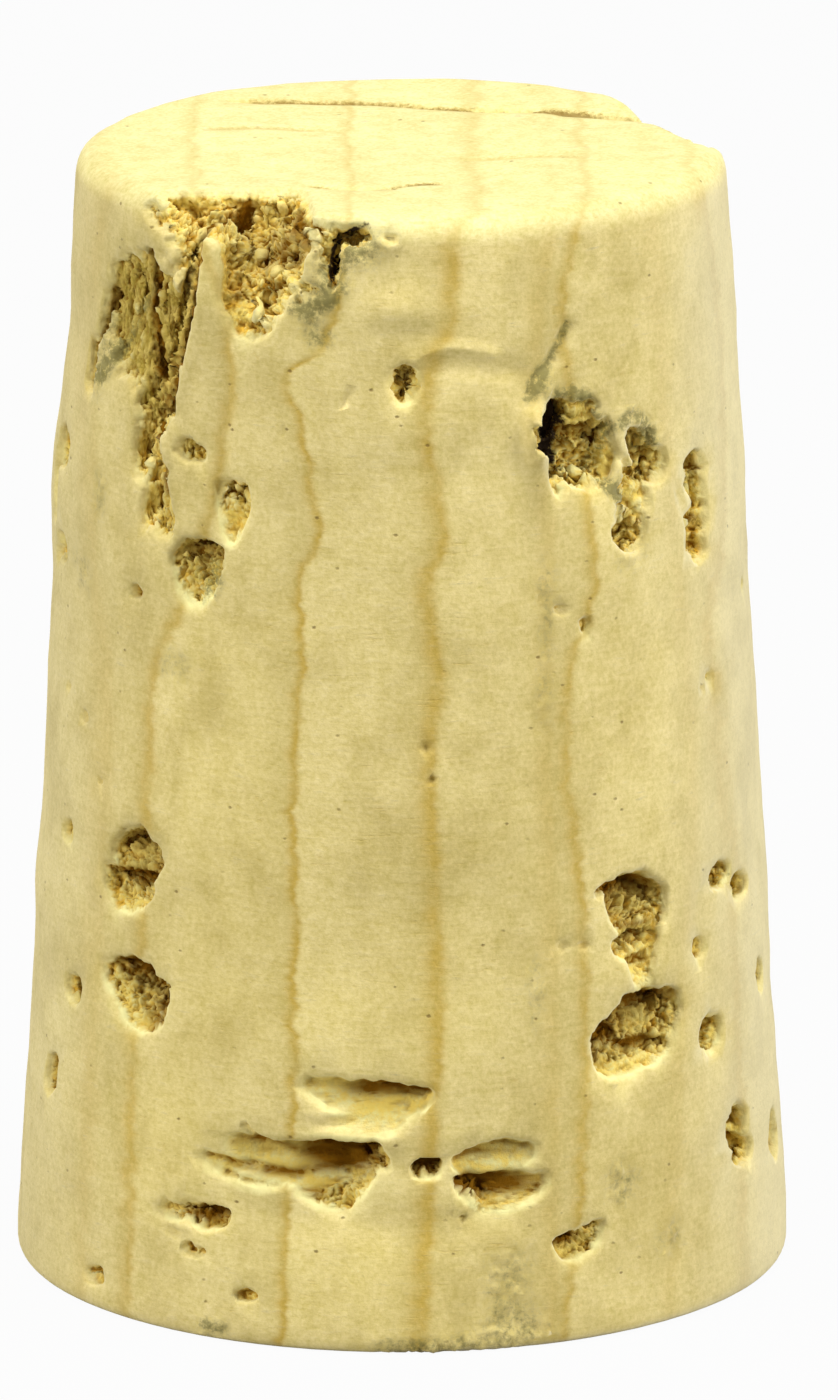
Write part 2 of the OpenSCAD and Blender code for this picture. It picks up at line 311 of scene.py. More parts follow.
# Lines across the small end: width, strength, course as (place across X, place along Y) in mm. The first is
# the split, and the second deepens it where it gapes.
END_LINES = [
    (0.30, 0.9, [(-5.6, 6.6), (-3.0, 6.4), (-0.9, 6.1), (1.6, 5.4), (3.2, 5.2), (4.6, 5.1), (5.6, 5.0),
                  (6.5, 4.5), (7.9, 4.0), (8.8, 3.2)]),
    (0.28, 1.2, [(0.6, 5.65), (1.6, 5.4), (3.2, 5.2), (4.6, 5.1), (5.6, 5.0), (6.5, 4.5), (7.9, 4.0)]),
    (0.14, 0.8, [(-3.4, -5.8), (-2.7, -6.0), (-1.1, -6.5), (0.6, -5.7), (1.8, -5.6)]),
    (0.14, 0.6, [(6.9, 7.1), (7.8, 5.2), (8.6, 3.1), (9.3, 1.6), (10.3, 0.2)]),
    (0.20, 0.45, [(-7.0, 2.2), (-4.9, 2.5), (-2.4, 2.2)]),
    (0.18, 0.4, [(2.0, -1.9), (4.4, -1.6), (6.4, -1.9)]),
]
# Length over which a line fades out at its ends
LINE_FADE = 0.8


def end_lines(surface, across, along):
    """The fine lines and the split across the small end, as a mask."""
    mask = None
    across_wall = 2 * WALL_R
    for width, strength, course in END_LINES:
        points = [(0.5 + x / across_wall, 0.5 + y / across_wall) for x, y in course]
        route = surface.add("FloatCurve", {"points": points}, {"Value": across / across_wall + 0.5})
        offset = (along - (route - 0.5) * across_wall) / width
        first, last = course[0][0], course[-1][0]
        starts = surface.smooth(across, first, first + LINE_FADE)
        stops = surface.smooth(across, last - LINE_FADE, last, 1.0, 0.0)
        drawn = (offset * offset * -1.0).math("EXPONENT") * starts * stops * strength
        mask = drawn if mask is None else mask.math("MAXIMUM", drawn)
    return mask


# Noises of the cork: waves to the millimetre along X, Y and Z, detail, roughness
NOISES = {
    "sway": ((0.02, 0.32, 0.05), 2.0, 0.5), "shiver": ((0.4, 0.7, 1.5), 4.0, 0.6),
    "mottle": ((0.45, 0.45, 0.40), 5.0, 0.62), "cloud": ((0.16, 0.16, 0.10), 3.0, 0.5),
    "streak": ((1.2, 1.2, 7.0), 4.0, 0.7), "dash": ((0.5, 4.5, 5.0), 4.0, 0.65),
    "grain": ((6.0, 6.0, 6.0), 4.0, 0.7), "patch": ((1.3, 1.3, 0.9), 4.0, 0.6),
    "cake": ((2.2, 2.2, 2.2), 5.0, 0.6), "blotch": ((1.8, 1.8, 1.3), 5.0, 0.7),
}
# Small dark pores to the millimetre along X, Y and Z
SPECK_WAVES = (1.1, 1.1, 1.5)
# How strongly the fine tone, and the painted light of a cloud below 0, move red, green and blue
TONE_TINT = (1.0, 1.1, 2.2)
GLOW_TINT = (0.14, 0.14, 0.07)
# Distances in mm below the small end between which its paler colour comes in, partly its own and partly a
# painted highlight of the lit end, and its lines
END_PALE_AND_HIGHLIGHT = (1.1, 0.25)
END_FLAT = (0.6, 0.1)
# Places along Y between which the rings begin to sway
SWAY_FROM = (-11.5, -6.0)
# Distance in mm that the material's fine bumps stand for, and their strength
BUMP_HEIGHT = 0.06
BUMP_STRENGTH = 0.5
# Roughness of the skin and of the inside of a pore, and the little gloss that dry cork has
SKIN_ROUGH = 0.62
PORE_ROUGH = 0.9
GLOSS = 0.1


def pore_colour(surface, colours, paints, cake):
    """Inside of the pores: pale and amber crumbs on the floors, olive walls and brown creases. The floors are
    the lit copy and the walls the shaded copy, picked by the floor mask as painted light and shade; the pale
    ridges and the lip colour of laid-open fibres are painted highlights, brighter clouds paint golden light,
    and the brown creases are painted shade.
    """
    crevice, ridge, floor, fibre, shaded = (
        paints[name] for name in ("crevice", "ridge", "floor", "fibre", "shaded"))
    laid_open = surface.mix(surface.smooth(cake, 0.32, 0.62), colours.lip, colours.crumb)
    crumb = surface.layered(
        surface.mix(surface.smooth(cake, 0.45, 0.64), colours.crumb, colours.amber),
        (ridge * 0.55, colours.crumb_highlight), (fibre, laid_open))
    wall = surface.mix(surface.smooth(cake, 0.38, 0.62), colours.olive, colours.fibre)
    wall = surface.mix(ridge * 0.4 * (1.0 - fibre), wall, colours.crumb)
    golden_light = surface.mix(ridge, colours.crumb, colours.crumb_highlight)
    return surface.layered(wall, (floor, crumb), (shaded * 0.75, wall), (shaded * -0.7, golden_light),
                           (crevice, colours.crevice))


def cork_material(colours):
    """Natural cork: rings, streaks, specks and stains on the skin, crumbs and brown creases in the pores,
    with painted light and shade in the pores, a painted sheen on the skin's edges and a paler end that is
    partly a painted highlight.
    """
    surface = Surface(bpy.data.materials.new("natural_cork"))
    place = surface.add("TexCoord", output=3)
    place = surface.add("VectorMath", {"operation": "SCALE"}, {0: place, "Scale": 1.0 / MM})
    parts = surface.add("SeparateXYZ", inputs={0: place})
    across, deep, height = (parts.other(axis) for axis in "XYZ")
    paints = {name: surface.attribute(name) for name in PAINTS}
    broken, lip, shaded, stain, soot = (
        paints[name] for name in ("broken", "lip", "shaded", "stain", "soot"))
    sway, shiver, mottle, cloud, streak, dash, grain, patch, cake, blotch = (
        surface.noise(place, *kind) for kind in NOISES.values())

    behind = surface.smooth(deep, *SWAY_FROM)
    wobble = (sway - 0.5) * behind * 1.4 + (shiver - 0.5) * 0.75
    line, late = ring_masks(surface, across, height, wobble)
    ends, flat = (surface.smooth(height, HEIGHT - low, HEIGHT - high) for low, high in (END_PALE_AND_HIGHLIGHT, END_FLAT))
    patchy = surface.smooth(mottle, 0.42, 0.70) * 0.60 + surface.smooth(cloud, 0.42, 0.62) * 0.40
    ragged = line * surface.smooth(patch, 0.30, 0.60, 0.45, 1.0) * (1.0 - ends * 0.60)
    split = end_lines(surface, across + (shiver - 0.5) * 0.8, deep + (grain - 0.5) * 0.5) * flat
    dirty = surface.smooth(streak, 0.55, 0.80) * surface.smooth(patch, 0.42, 0.62)
    dashed = surface.smooth(dash, 0.58, 0.76) * surface.smooth(mottle, 0.40, 0.62, 0.15, 1.0)
    # The small end's paler colour is partly a painted highlight of the lit end
    skin = surface.layered(
        surface.mix(ends, colours.body, colours.end),
        (patchy * (1.0 - ends * 0.7), colours.shade),
        (late * (1.0 - ends * 0.8), colours.shade),
        (shaded * surface.smooth(mottle, 0.25, 0.65, 0.4, 1.0), colours.shade),
        (surface.smooth(shaded, 0.9, 1.9) * 0.8, colours.fibre),
        (ragged, colours.ring),
        (split * surface.smooth(patch, 0.25, 0.50, 0.5, 1.0), colours.ring),
        (surface.smooth(split, 0.30, 0.90) * 0.8, colours.speck),
        (dirty * 0.55, colours.dirt),
        (dashed * 0.40, colours.ring))
    tone = (streak - 0.5) * 0.30 + (grain - 0.5) * 0.55 + (patch - 0.5) * 0.30
    # Painted light: clouds below 0 brighten the skin's tone
    glow = shaded.math("MINIMUM", 0.0) * -1.0
    tint = surface.add("CombineXYZ", inputs={
        k: tone * TONE_TINT[k] + glow * GLOW_TINT[k] for k in range(3)})
    skin = surface.add("VectorMath", {"operation": "MULTIPLY_ADD"}, {0: skin, 1: tint, 2: skin})

    cells = surface.add("TexVoronoi", {"feature": "F1", "voronoi_dimensions": "3D"}, {
        "Vector": surface.stretch(place, SPECK_WAVES), "Scale": 1.0, "Randomness": 1.0})
    hue = surface.add("SeparateColor", inputs={0: cells.other("Color")})
    spotted = surface.smooth(cells + (grain - 0.5) * 0.10, 0.03, 0.11, 1.0, 0.0)
    speck = spotted * surface.smooth(hue, 0.35, 0.9)
    # Painted sheen: the skin turns pale where it is seen edge on
    edge = surface.add("LayerWeight", inputs={"Blend": 0.35}, output=1)
    painted_sheen = surface.smooth(edge, 0.15, 0.60) * surface.smooth(across, -8.0, 8.0, 0.15, 0.45)
    crusty = stain * (blotch * 2.0 + grain * 2.4 - 1.45) * (1.0 - broken * 0.45)
    sooty_and_shaded = soot * (blotch * 1.6 + grain * 1.6 - 0.7)
    base = surface.layered(
        skin,
        (speck * 0.75, colours.speck),
        (painted_sheen * (1.0 - ends), SHEEN_COLOUR),
        # Painted highlight below the lips of the pores
        (lip * surface.smooth(patch, 0.25, 0.55, 0.4, 1.0), colours.lip),
        (broken, pore_colour(surface, colours, paints, cake)),
        (surface.smooth(crusty, 0.20, 0.95) * 0.8, colours.stain),
        # Soot, and black painted shade in the deep holes
        (surface.smooth(sooty_and_shaded, 0.30, 0.80), colours.soot))

    relief = streak * 0.35 + grain * 0.6 - line * 0.3 - speck * 1.2 - dashed * 0.3
    relief = relief + broken * (cake + grain) * 2.6
    bump = surface.add("Bump", inputs={
        "Strength": BUMP_STRENGTH, "Distance": BUMP_HEIGHT * MM, "Height": relief})
    shader = surface.add("BsdfPrincipled", inputs={
        "Base Color": base, "Roughness": surface.smooth(broken, 0.0, 1.0, SKIN_ROUGH, PORE_ROUGH),
        "Normal": bump, "Specular IOR Level": GLOSS})
    surface.add("OutputMaterial", inputs={"Surface": shader})
    return surface.owner


# ---------------------------------------------------------------- relief

def skin_depth(points):
    """How far each point lies under the whole, unbroken skin, in millimetres."""
    wall = (wall_radius(points[:, 2]) - np.hypot(points[:, 0], points[:, 1])) * TAPER
    end = HEIGHT - points[:, 2]
    rim = RIM_ROUND - np.hypot(RIM_ROUND - wall, RIM_ROUND - end)
    near_rim = (wall < RIM_ROUND) & (end < RIM_ROUND)
    return np.minimum(np.where(near_rim, rim, np.minimum(wall, end)), points[:, 2])


def outward(points):
    """Direction out of the skin at each point: out of the small end near it, else out of the wall."""
    flat = np.hypot(points[:, 0], points[:, 1])
    wall = (wall_radius(points[:, 2]) - flat) * TAPER
    end = HEIGHT - points[:, 2]
    up = np.clip((wall - end) / RIM_ROUND * 0.5 + 0.5, 0.0, 1.0)
    side = points * np.array([1.0, 1.0, 0.0]) / np.maximum(flat, 1e-6)[:, None]
    side[:, 2] = WALL_SLOPE
    direction = side * (1.0 - up)[:, None] + np.array([0.0, 0.0, 1.0]) * up[:, None]
    return direction / np.linalg.norm(direction, axis=1)[:, None]


def ease(values, low, high):
    t = np.clip((values - low) / (high - low), 0.0, 1.0)
    return t * t * (3.0 - 2.0 * t)


def ripple(points, scale, seed=0.0):
    """Smooth noise from about -1 to 1 at each point; the scale counts its waves to the millimetre."""
    shift = Vector((seed, 1.7 * seed, -0.6 * seed))
    return np.array([noise.noise(Vector(p) * scale + shift) for p in points])


def depth_between(points, limits):
    """0 above the first of two depths under the skin and 1 below the second."""
    return ease(skin_depth(points), *limits)


def spread(values, edges, rounds):
    """Evens out a value over the mesh by averaging it with its neighbours."""
    count = len(values)
    links = np.bincount(edges.ravel(), minlength=count)
    for _ in range(rounds):
        total = np.bincount(edges[:, 0], values[edges[:, 1]], count)
        total += np.bincount(edges[:, 1], values[edges[:, 0]], count)
        values = 0.5 * values + 0.5 * total / np.maximum(links, 1)
    return values


def unrolled(points, azimuth):
    """The wall rolled out flat around an azimuth: distance along it and height."""
    angle = np.degrees(np.arctan2(points[:, 0], -points[:, 1])) - azimuth
    angle = (angle + 180.0) % 360.0 - 180.0
    return np.radians(angle) * wall_radius(points[:, 2]), points[:, 2]


# Marks on the wall fade out between these depths under it, and on the flat of the small end between these
# distances inside its edge and below it
MARK_DEPTH = (2.4, 3.4)
END_EDGE = (0.8, 1.3)
END_SKIN = (0.5, 0.25)


def near_wall(points):
    """1 on the wall and just under it, 0 deep inside and on the flat of the small end."""
    inside = wall_radius(points[:, 2]) - np.hypot(points[:, 0], points[:, 1])
    on_end = ease(inside, *END_EDGE) * ease(points[:, 2], HEIGHT - END_SKIN[0], HEIGHT - END_SKIN[1])
    return (1.0 - ease(inside, *MARK_DEPTH)) * (1.0 - on_end)


def spot(points, azimuth, z, wide, tall, lean):
    """How far a point is from the middle of an oval mark on the wall; its outline is at 1."""
    along, height = unrolled(points, azimuth)
    turn = math.radians(lean)
    u = along * math.cos(turn) - (height - z) * math.sin(turn)
    v = along * math.sin(turn) + (height - z) * math.cos(turn)
    return np.hypot(u / wide, v / tall)


def along_course(u, v, course):
    """Distance of each place (u, v) from a course of such places."""
    nearest = np.full(len(u), 1e3)
    for (u_a, v_a), (u_b, v_b) in zip(course, course[1:]):
        du, dv = u_b - u_a, v_b - v_a
        t = np.clip(((u - u_a) * du + (v - v_a) * dv) / (du * du + dv * dv), 0.0, 1.0)
        nearest = np.minimum(nearest, np.hypot(u - u_a - t * du, v - v_a - t * dv))
    return nearest


def stroke(points, course):
    """Distance of each point from a course of (azimuth, height) drawn on the wall."""
    middle = sum(azimuth for azimuth, _ in course) / len(course)
    along, height = unrolled(points, middle)
    places = [(math.radians(azimuth - middle) * wall_radius(z), z) for azimuth, z in course]
    return along_course(along, height, places)


# Soft dents (below 0) and swellings of the wall: azimuth, height, half width, half height, lean, amount
SWELLS = [
    (-88, 27.0, 7.0, 2.6, 0, 0.26), (-84, 32.2, 4.0, 1.2, 0, -0.12), (-1, 35.0, 1.2, 0.6, 0, 0.20),
    (0.5, 34.25, 1.0, 0.28, 0, -0.07), (-2, 30.8, 1.2, 0.6, 0, 0.06), (31, 31.1, 0.6, 0.55, 0, 0.22),
    (-15, 34.4, 1.0, 0.6, -30, -0.12), (-36, 34.0, 1.0, 2.6, 6, 0.18), (-30, 31.0, 0.9, 3.0, 4, -0.10),
    (-56, 33.6, 1.0, 2.2, 14, -0.22), (-62, 30.0, 1.3, 3.0, 0, 0.10), (-47, 26.0, 2.0, 1.2, 0, 0.10),
    (-15, 4.6, 3.2, 0.6, 6, -0.12), (15, 4.4, 1.9, 0.5, 0, -0.10), (-8, 7.35, 2.0, 0.3, 0, 0.10),
    (25, 32.4, 0.5, 0.45, 30, 0.16), (33, 26.0, 2.5, 2.5, 0, 0.08), (14, 31.5, 4.0, 1.2, 0, 0.07),
    (23.0, 30.6, 0.4, 1.0, 0, 0.9),
]
# Folds and scratches of the skin: half width, amount, course of (azimuth, height)
FOLDS = [
    (0.20, 0.14, [(2.1, 33.3), (4.6, 33.6), (8, 33.75), (12.4, 33.65), (16, 33.4)]),
    (0.36, -0.14, [(4.6, 33.2), (9, 33.2), (14, 33.1), (21, 32.8)]),
    (0.30, -0.14, [(30, 34.1), (26, 33.1), (21.6, 31.9)]),
    (0.16, 0.08, [(-0.9, 7.75), (-2.6, 7.1), (-4.4, 6.2), (-6.5, 5.4)]),
    (0.10, -0.16, [(-9.9, 31.8), (-9.2, 32.1), (-8.6, 32.35)]),
    (0.10, -0.10, [(52.6, 28.1), (54.5, 27.2), (55.6, 26.7)]),
    (0.10, 0.12, [(-4.2, 37.35), (-3.6, 37.7), (-1.8, 37.85), (0, 37.6), (0, 37.2), (-2, 37.0),
                  (-4.2, 37.35)]),
    (0.16, 0.12, [(-36, 37.0), (-36.5, 35), (-38.5, 33), (-41, 31.2)]),
    (0.25, -0.10, [(-33, 36.0), (-31.5, 34), (-31.0, 31), (-31.0, 28.6)]),
]
# Cracks: half width, depth, course of (azimuth, height)
CRACKS = [
    (0.25, 1.30, [(-37.6, 37.9), (-38.6, 36.8), (-38.9, 35.6), (-39.4, 34.2), (-41.0, 33.2), (-42.7, 32.2),
                  (-43.2, 31.0)]),
    (0.24, 1.3, [(-50.5, 35.9), (-50.0, 34.8), (-50.4, 33.9), (-48.6, 33.2), (-48.9, 32.4), (-47.3, 31.6)]),
    (0.48, 0.62, [(-48.5, 31.2), (-48.2, 30.0), (-46.6, 28.9), (-44.9, 27.9), (-43.5, 27.1)]),
    (0.16, 0.90, [(-46.8, 31.2), (-46.6, 30.2), (-45.6, 29.2), (-44.2, 28.2)]),
    (0.44, 0.65, [(60.4, 28.5), (60.2, 27.2), (59.4, 25.7)]),
    (0.17, 0.60, [(32.4, 15.05), (34.0, 15.2), (36.5, 15.15)]),
    (0.12, 0.30, [(-24.6, 7.45), (-22.6, 7.1), (-20.8, 7.0), (-17, 6.75)]),
    (0.14, 0.35, [(-31, 6.25), (-26, 6.05), (-22, 6.1), (-15.7, 5.85)]),
    (0.09, 0.25, [(-28, 5.75), (-24, 5.55), (-18, 5.5)]),
    (0.20, 0.90, [(-62.5, 34.2), (-64, 33.1), (-66.5, 32.4), (-67, 31.6), (-68.2, 30.9)]),
    (0.09, 0.30, [(-56, 35.3), (-58, 34.2), (-58.4, 33.0)]),
    (0.10, 0.35, [(-53.5, 35.2), (-54.0, 34.0), (-54.6, 33.2)]),
    (0.12, 0.40, [(-6.5, 37.7), (-8.5, 37.5), (-10.8, 37.3), (-12.4, 36.9), (-12.7, 36.3), (-12.1, 35.7)]),
    (0.07, 0.25, [(-20, 31.0), (-20.5, 30.6)]),
]
# Small hollows: azimuth, height, half width, half height, lean, depth
DENTS = [
    (-57.4, 34.6, 0.75, 0.95, 10, 0.28), (-49, 31.3, 0.4, 0.45, 0, 0.8), (-45, 30.9, 0.4, 0.6, 20, 0.9),
    (-39.2, 29.75, 0.5, 0.45, 0, 0.45), (-49.4, 24.7, 0.22, 0.32, 20, 0.35), (-81, 27.0, 0.45, 1.6, 0, 0.35),
    (-80, 24.5, 0.35, 0.5, 0, 0.3), (-20.5, 37.5, 0.35, 0.35, 0, 1.2), (-17.5, 37.1, 0.4, 0.45, 0, 1.3),
    (-15.5, 37.6, 0.35, 0.3, 0, 1.0), (-22.5, 36.5, 0.25, 0.35, 0, 1.1), (-27, 37.4, 0.3, 0.3, 0, 1.2),
    (43.0, 29.7, 0.28, 0.42, 0, 0.9),
    (40.5, 27.6, 0.5, 0.6, 0, 0.35), (0.5, 32.4, 0.42, 0.75, 0, 0.3), (31.5, 24.0, 0.16, 0.14, 0, 0.22),
    (29.6, 13.4, 0.35, 0.10, -6, 0.22), (4.7, 19.4, 0.16, 0.14, 0, 0.25), (-56.5, 17.9, 0.24, 0.10, 0, 0.2),
    (-70, 20.5, 0.14, 0.2, 0, 0.2), (61, 21.3, 0.16, 0.15, 0, 0.25), (31.5, 26.8, 0.10, 0.12, 0, 0.15),
]
# Painted shade, deep brown, in hollows: azimuth, height, half width, half height, lean, amount
BROWN_SHADE_SPOTS = [
    (-9.0, 6.50, 1.2, 0.50, 0, 1.2), (-18, 5.95, 1.6, 0.15, -5, 0.7), (-13.5, 5.3, 0.5, 0.25, 0, 0.8),
    (-24, 6.95, 0.9, 0.14, -15, 0.5), (-3.5, 8.85, 1.6, 0.25, -5, 0.55), (16.5, 6.65, 1.0, 0.12, 4, 0.4),
    (3.8, 6.25, 0.45, 0.3, 0, 0.9), (9.5, 5.65, 0.40, 0.40, 0, 1.1), (14.5, 5.5, 1.9, 0.34, 0, 1.0),
    (-31.5, 4.15, 0.8, 0.28, 0, 1.1), (25.6, 3.55, 0.45, 0.25, 0, 1.1), (40.5, 13.7, 0.9, 0.12, 0, 0.8),
    (36.4, 10.4, 0.5, 0.6, 0, 0.4), (-24.5, 36.6, 0.25, 0.5, 20, 0.8), (-20.0, 36.2, 0.3, 0.25, 0, 0.7),
    (-48, 11.95, 0.9, 0.25, 0, 1.1), (-42.0, 10.9, 0.5, 1.0, 0, 1.0), (-48.0, 15.0, 1.2, 0.22, 0, 1.0),
    (-43.5, 15.6, 0.3, 0.6, 0, 0.7), (34.0, 10.1, 0.7, 0.25, 15, 0.9), (32.4, 9.7, 0.25, 0.5, 0, 0.9),
    (41.5, 11.05, 1.2, 0.20, 0, 0.8), (40.5, 9.6, 0.8, 0.16, 0, 0.7), (39.5, 15.1, 1.1, 0.22, 0, 0.7),
    (36.2, 14.4, 0.3, 0.8, 0, 0.6),
    (-21.5, 37.3, 0.35, 0.35, 0, 0.9), (-18.0, 37.0, 0.4, 0.4, 0, 0.9), (-25.0, 37.5, 0.5, 0.25, 0, 0.8),
    (-29.0, 36.9, 0.3, 0.4, 0, 0.7), (-23.0, 35.4, 0.25, 0.25, 0, 0.7), (-31.5, 35.0, 0.2, 0.4, 0, 0.6),
    (-15.5, 37.6, 0.35, 0.3, 0, 0.7), (60.5, 28.3, 0.5, 0.14, 0, 0.8), (59.8, 26.6, 0.5, 0.12, 0, 0.9),
    (59.4, 25.7, 0.4, 0.12, 0, 0.9), (-27.0, 35.9, 0.3, 0.25, 0, 0.6), (41.6, 29.9, 0.3, 0.4, 0, 0.8),
]
# Grey-green stains: azimuth, height, half width, half height, lean, strength
STAINS = [
    (-62, 32.6, 0.8, 2.4, 10, 0.7), (-8, 37.0, 1.2, 0.9, 0, 0.9), (-14, 34.0, 0.7, 0.45, 0, 0.9),
    (-34, 25.7, 0.75, 0.85, 0, 1.2), (-37, 26.6, 0.9, 1.0, 0, 0.4), (-38, 29.9, 0.6, 0.5, -30, 0.8),
    (24.5, 32.3, 0.6, 0.5, 30, 0.7), (31, 31.6, 0.8, 0.5, 0, 0.6), (47, 29.6, 0.6, 1.0, 0, 0.3),
    (40, 28.4, 0.6, 1.4, -15, 0.6), (24.5, 25.6, 0.7, 1.8, 0, 0.50), (-29, 0.5, 0.8, 0.4, 0, 0.9),
    (2, 0.3, 1.9, 0.40, 0, 0.85), (16, 2.4, 1.4, 1.8, 0, 0.60), (-66, 24.6, 1.6, 0.9, 30, 0.55),
    (23.5, 22.0, 0.6, 2.4, 0, 0.50), (21, 12.0, 0.6, 2.5, 0, 0.50), (41, 26.2, 1.2, 1.2, 0, 0.50),
    (35, 5.2, 1.0, 1.1, 0, 0.70), (44, 3.0, 1.2, 1.0, 0, 0.55), (18, 0.6, 2.2, 0.7, 0, 0.50),
    (-13.5, 35.9, 0.8, 1.0, 0, 0.6), (-40, 22.5, 1.4, 1.0, 0, 0.5), (-60, 27.5, 1.0, 1.6, 0, 0.5),
]
# Grey veins: half width, strength, course of (azimuth, height)
VEINS = [
    (0.30, 1.1, [(-51, 34.7), (-55, 33.6), (-60, 32.2), (-63.7, 31.3)]),
    (0.22, 1.0, [(30, 34.2), (27, 33.3), (24, 32.6), (21.6, 31.9)]),
    (0.22, 1.3, [(37.7, 30.6), (36.6, 29.8), (35, 29.1), (36.8, 28.6), (39.2, 28.2)]),
    (0.30, 1.1, [(40.5, 30.6), (43, 30.9), (46, 30.4), (47.5, 29.6)]),
    (0.35, 1.0, [(-11, 35.6), (-13.5, 35.2), (-16, 34.8), (-18.5, 34.9)]),
    (0.22, 0.8, [(27.5, 31.9), (30, 32.0), (33, 31.7), (35.5, 31.0)]),
]
# Blackened cork, and black painted shade in two deep holes: half width, strength, course of (azimuth, height)
SOOT_AND_HOLE_SHADE = [
    (0.07, 1.1, [(-8.5, 37.55), (-10.8, 37.3), (-12.4, 36.9), (-12.8, 36.3), (-12.5, 35.9)]),
    (0.11, 0.7, [(-6.2, 37.75), (-8.8, 37.5)]), (0.08, 0.6, [(-12.6, 36.1), (-11.5, 35.5), (-9.8, 35.4)]),
    (0.38, 1.3, [(27.6, 31.3), (28.2, 29.6)]),
    (0.16, 0.9, [(43, 29.9), (43, 29.5)]),
]
# Scooped pores, steep at the top and rising to the lower lip: azimuth, height of the upper edge, half width,
# height, rise of the upper edge to the side, drop of its ends, side that goes deeper, depth
SCOOPS = [
    (-5.2, 9.15, 2.20, 1.45, -0.18, 0.10, 0.75, 0.95), (-11.0, 7.00, 1.75, 2.30, 0.05, 0.05, 0.7, 1.6),
    (-12.5, 9.05, 0.9, 0.55, 0.0, 0.05, 0.6, 0.25), (-5.0, 8.55, 1.6, 0.50, 0.05, 0.05, 0.4, 0.30),
    (-7.5, 7.95, 1.80, 0.90, 0.10, 0.10, 0.8, 0.26), (-24.0, 7.00, 1.90, 1.90, -0.10, 0.30, 0.9, 0.42),
    (-30.0, 6.20, 0.9, 0.60, -0.05, 0.05, 0.8, 0.25), (3.8, 6.50, 0.55, 0.65, 0.05, 0.10, 0.0, 1.3),
    (14.2, 7.00, 1.50, 1.20, 0.15, 0.35, -0.3, 0.50), (15.4, 5.95, 1.70, 1.40, 0.0, 0.10, -0.8, 1.0),
    (-31.0, 4.50, 0.90, 0.85, -0.05, 0.10, 0.4, 0.95), (-37.5, 4.25, 0.90, 0.50, 0.0, 0.10, 0.9, 0.35),
    (27.6, 3.75, 0.95, 1.00, 0.20, 0.05, -0.6, 0.95),
    (40.2, 15.3, 1.30, 2.2, -0.15, 0.5, -0.4, 1.6), (39.8, 13.4, 1.05, 0.90, 0.02, 0.1, -0.3, 1.0),
    (40.8, 12.6, 0.5, 1.3, 0.0, 0.0, 0.0, 0.45), (42.6, 11.3, 1.30, 2.1, -0.12, 0.05, -0.3, 1.5),
    (38.6, 11.15, 1.7, 2.5, 0.3, 0.75, -0.3, 1.5), (34.8, 10.2, 0.85, 1.5, 0.15, 0.35, -0.2, 1.7),
    (42.0, 9.75, 0.9, 1.0, 0.0, 0.2, -0.2, 0.9), (31.5, 30.7, 1.30, 2.00, 0.0, 0.20, -0.5, 0.8),
    (-47.3, 16.6, 1.2, 1.75, 0.05, 0.7, 0.35, 1.5), (-49.2, 15.15, 1.25, 1.5, 0.05, 0.1, 0.3, 1.4),
    (-47.5, 12.2, 1.0, 0.8, 0.05, 0.15, 0.2, 1.5), (-45.5, 11.8, 1.4, 2.0, -0.1, 0.25, 0.75, 1.7),
    (-51, 11.9, 0.9, 1.2, 0.0, 0.1, 0.8, 0.6), (27.2, 31.6, 0.42, 3.2, 0.0, 0.0, 0.0, 1.7),
    (-29.8, 28.9, 0.62, 2.3, 0.0, 0.15, 0.3, 0.6), (-36.0, 26.8, 1.0, 2.4, 0.2, 0.5, 0.4, 0.8),
    (62, 14.8, 0.6, 0.8, 0.0, 0.3, 0.0, 0.6),
    (68, 14.1, 0.6, 0.8, 0.0, 0.3, 0.0, 0.7), (56, 9.9, 0.65, 1.4, 0.0, 0.3, 0.0, 0.7),
    (63, 6.4, 0.6, 2.0, 0.0, 0.3, 0.0, 0.7), (0.5, 33.1, 0.42, 1.4, 0.0, 0.2, 0.0, 0.55),
    (31.5, 24.3, 0.2, 0.35, 0.0, 0.1, 0.0, 0.3), (60.5, 21.4, 0.2, 0.3, 0.0, 0.1, 0.0, 0.25),
]
# Where the scooped pores replace the solid's: azimuth, height, half width, half height, lean
COVERS = [
    (-6, 8.6, 2.9, 1.0, 0), (-15.5, 6.4, 4.2, 1.7, 0), (12.3, 6.1, 2.7, 1.5, 0), (-31, 4.5, 2.4, 1.0, 0),
    (27.5, 3.5, 1.4, 0.9, 0), (39.8, 14.4, 2.6, 2.3, 0), (39.4, 10.0, 3.0, 2.7, 0),
    (-48, 15.2, 2.3, 2.2, 0), (-47.3, 10.9, 2.5, 1.9, 0), (-29.3, 27.95, 1.0, 1.4, 0),
    (-35.3, 25.9, 1.6, 1.7, 0),
]
# Where the pores are laid open lengthwise, with fibrous walls: azimuth, height, half width, half height,
# lean, amount. Below 0 it is taken back, and under a half it only calms the crumbs.
FIBROUS = [
    (-1, 7.6, 8.0, 2.8, 0, 1.6), (-23, 5.9, 3.4, 1.2, 0, 1.0), (-8, 5.2, 1.4, 0.5, 0, -1.6),
    (9.5, 5.5, 0.6, 0.5, 0, -1.4), (3.8, 6.1, 0.5, 0.4, 0, -1.4), (-3.5, 6.6, 0.4, 0.9, -30, -1.8),
    (115, 37.5, 6.0, 2.4, 0, 1.6), (41.5, 15.0, 1.4, 1.0, 0, 0.48), (42, 11.2, 1.3, 1.0, 0, 0.45),
    (-47, 12.0, 1.2, 0.7, 0, 0.45), (-47.5, 15.7, 1.3, 0.9, 0, 0.45),
]
# Where the cork is shredded upright, in the same order
SHREDDED = [(-56, 32.5, 4.0, 4.2, 0, 1.6), (-47, 29.0, 1.4, 2.6, -8, 1.6)]
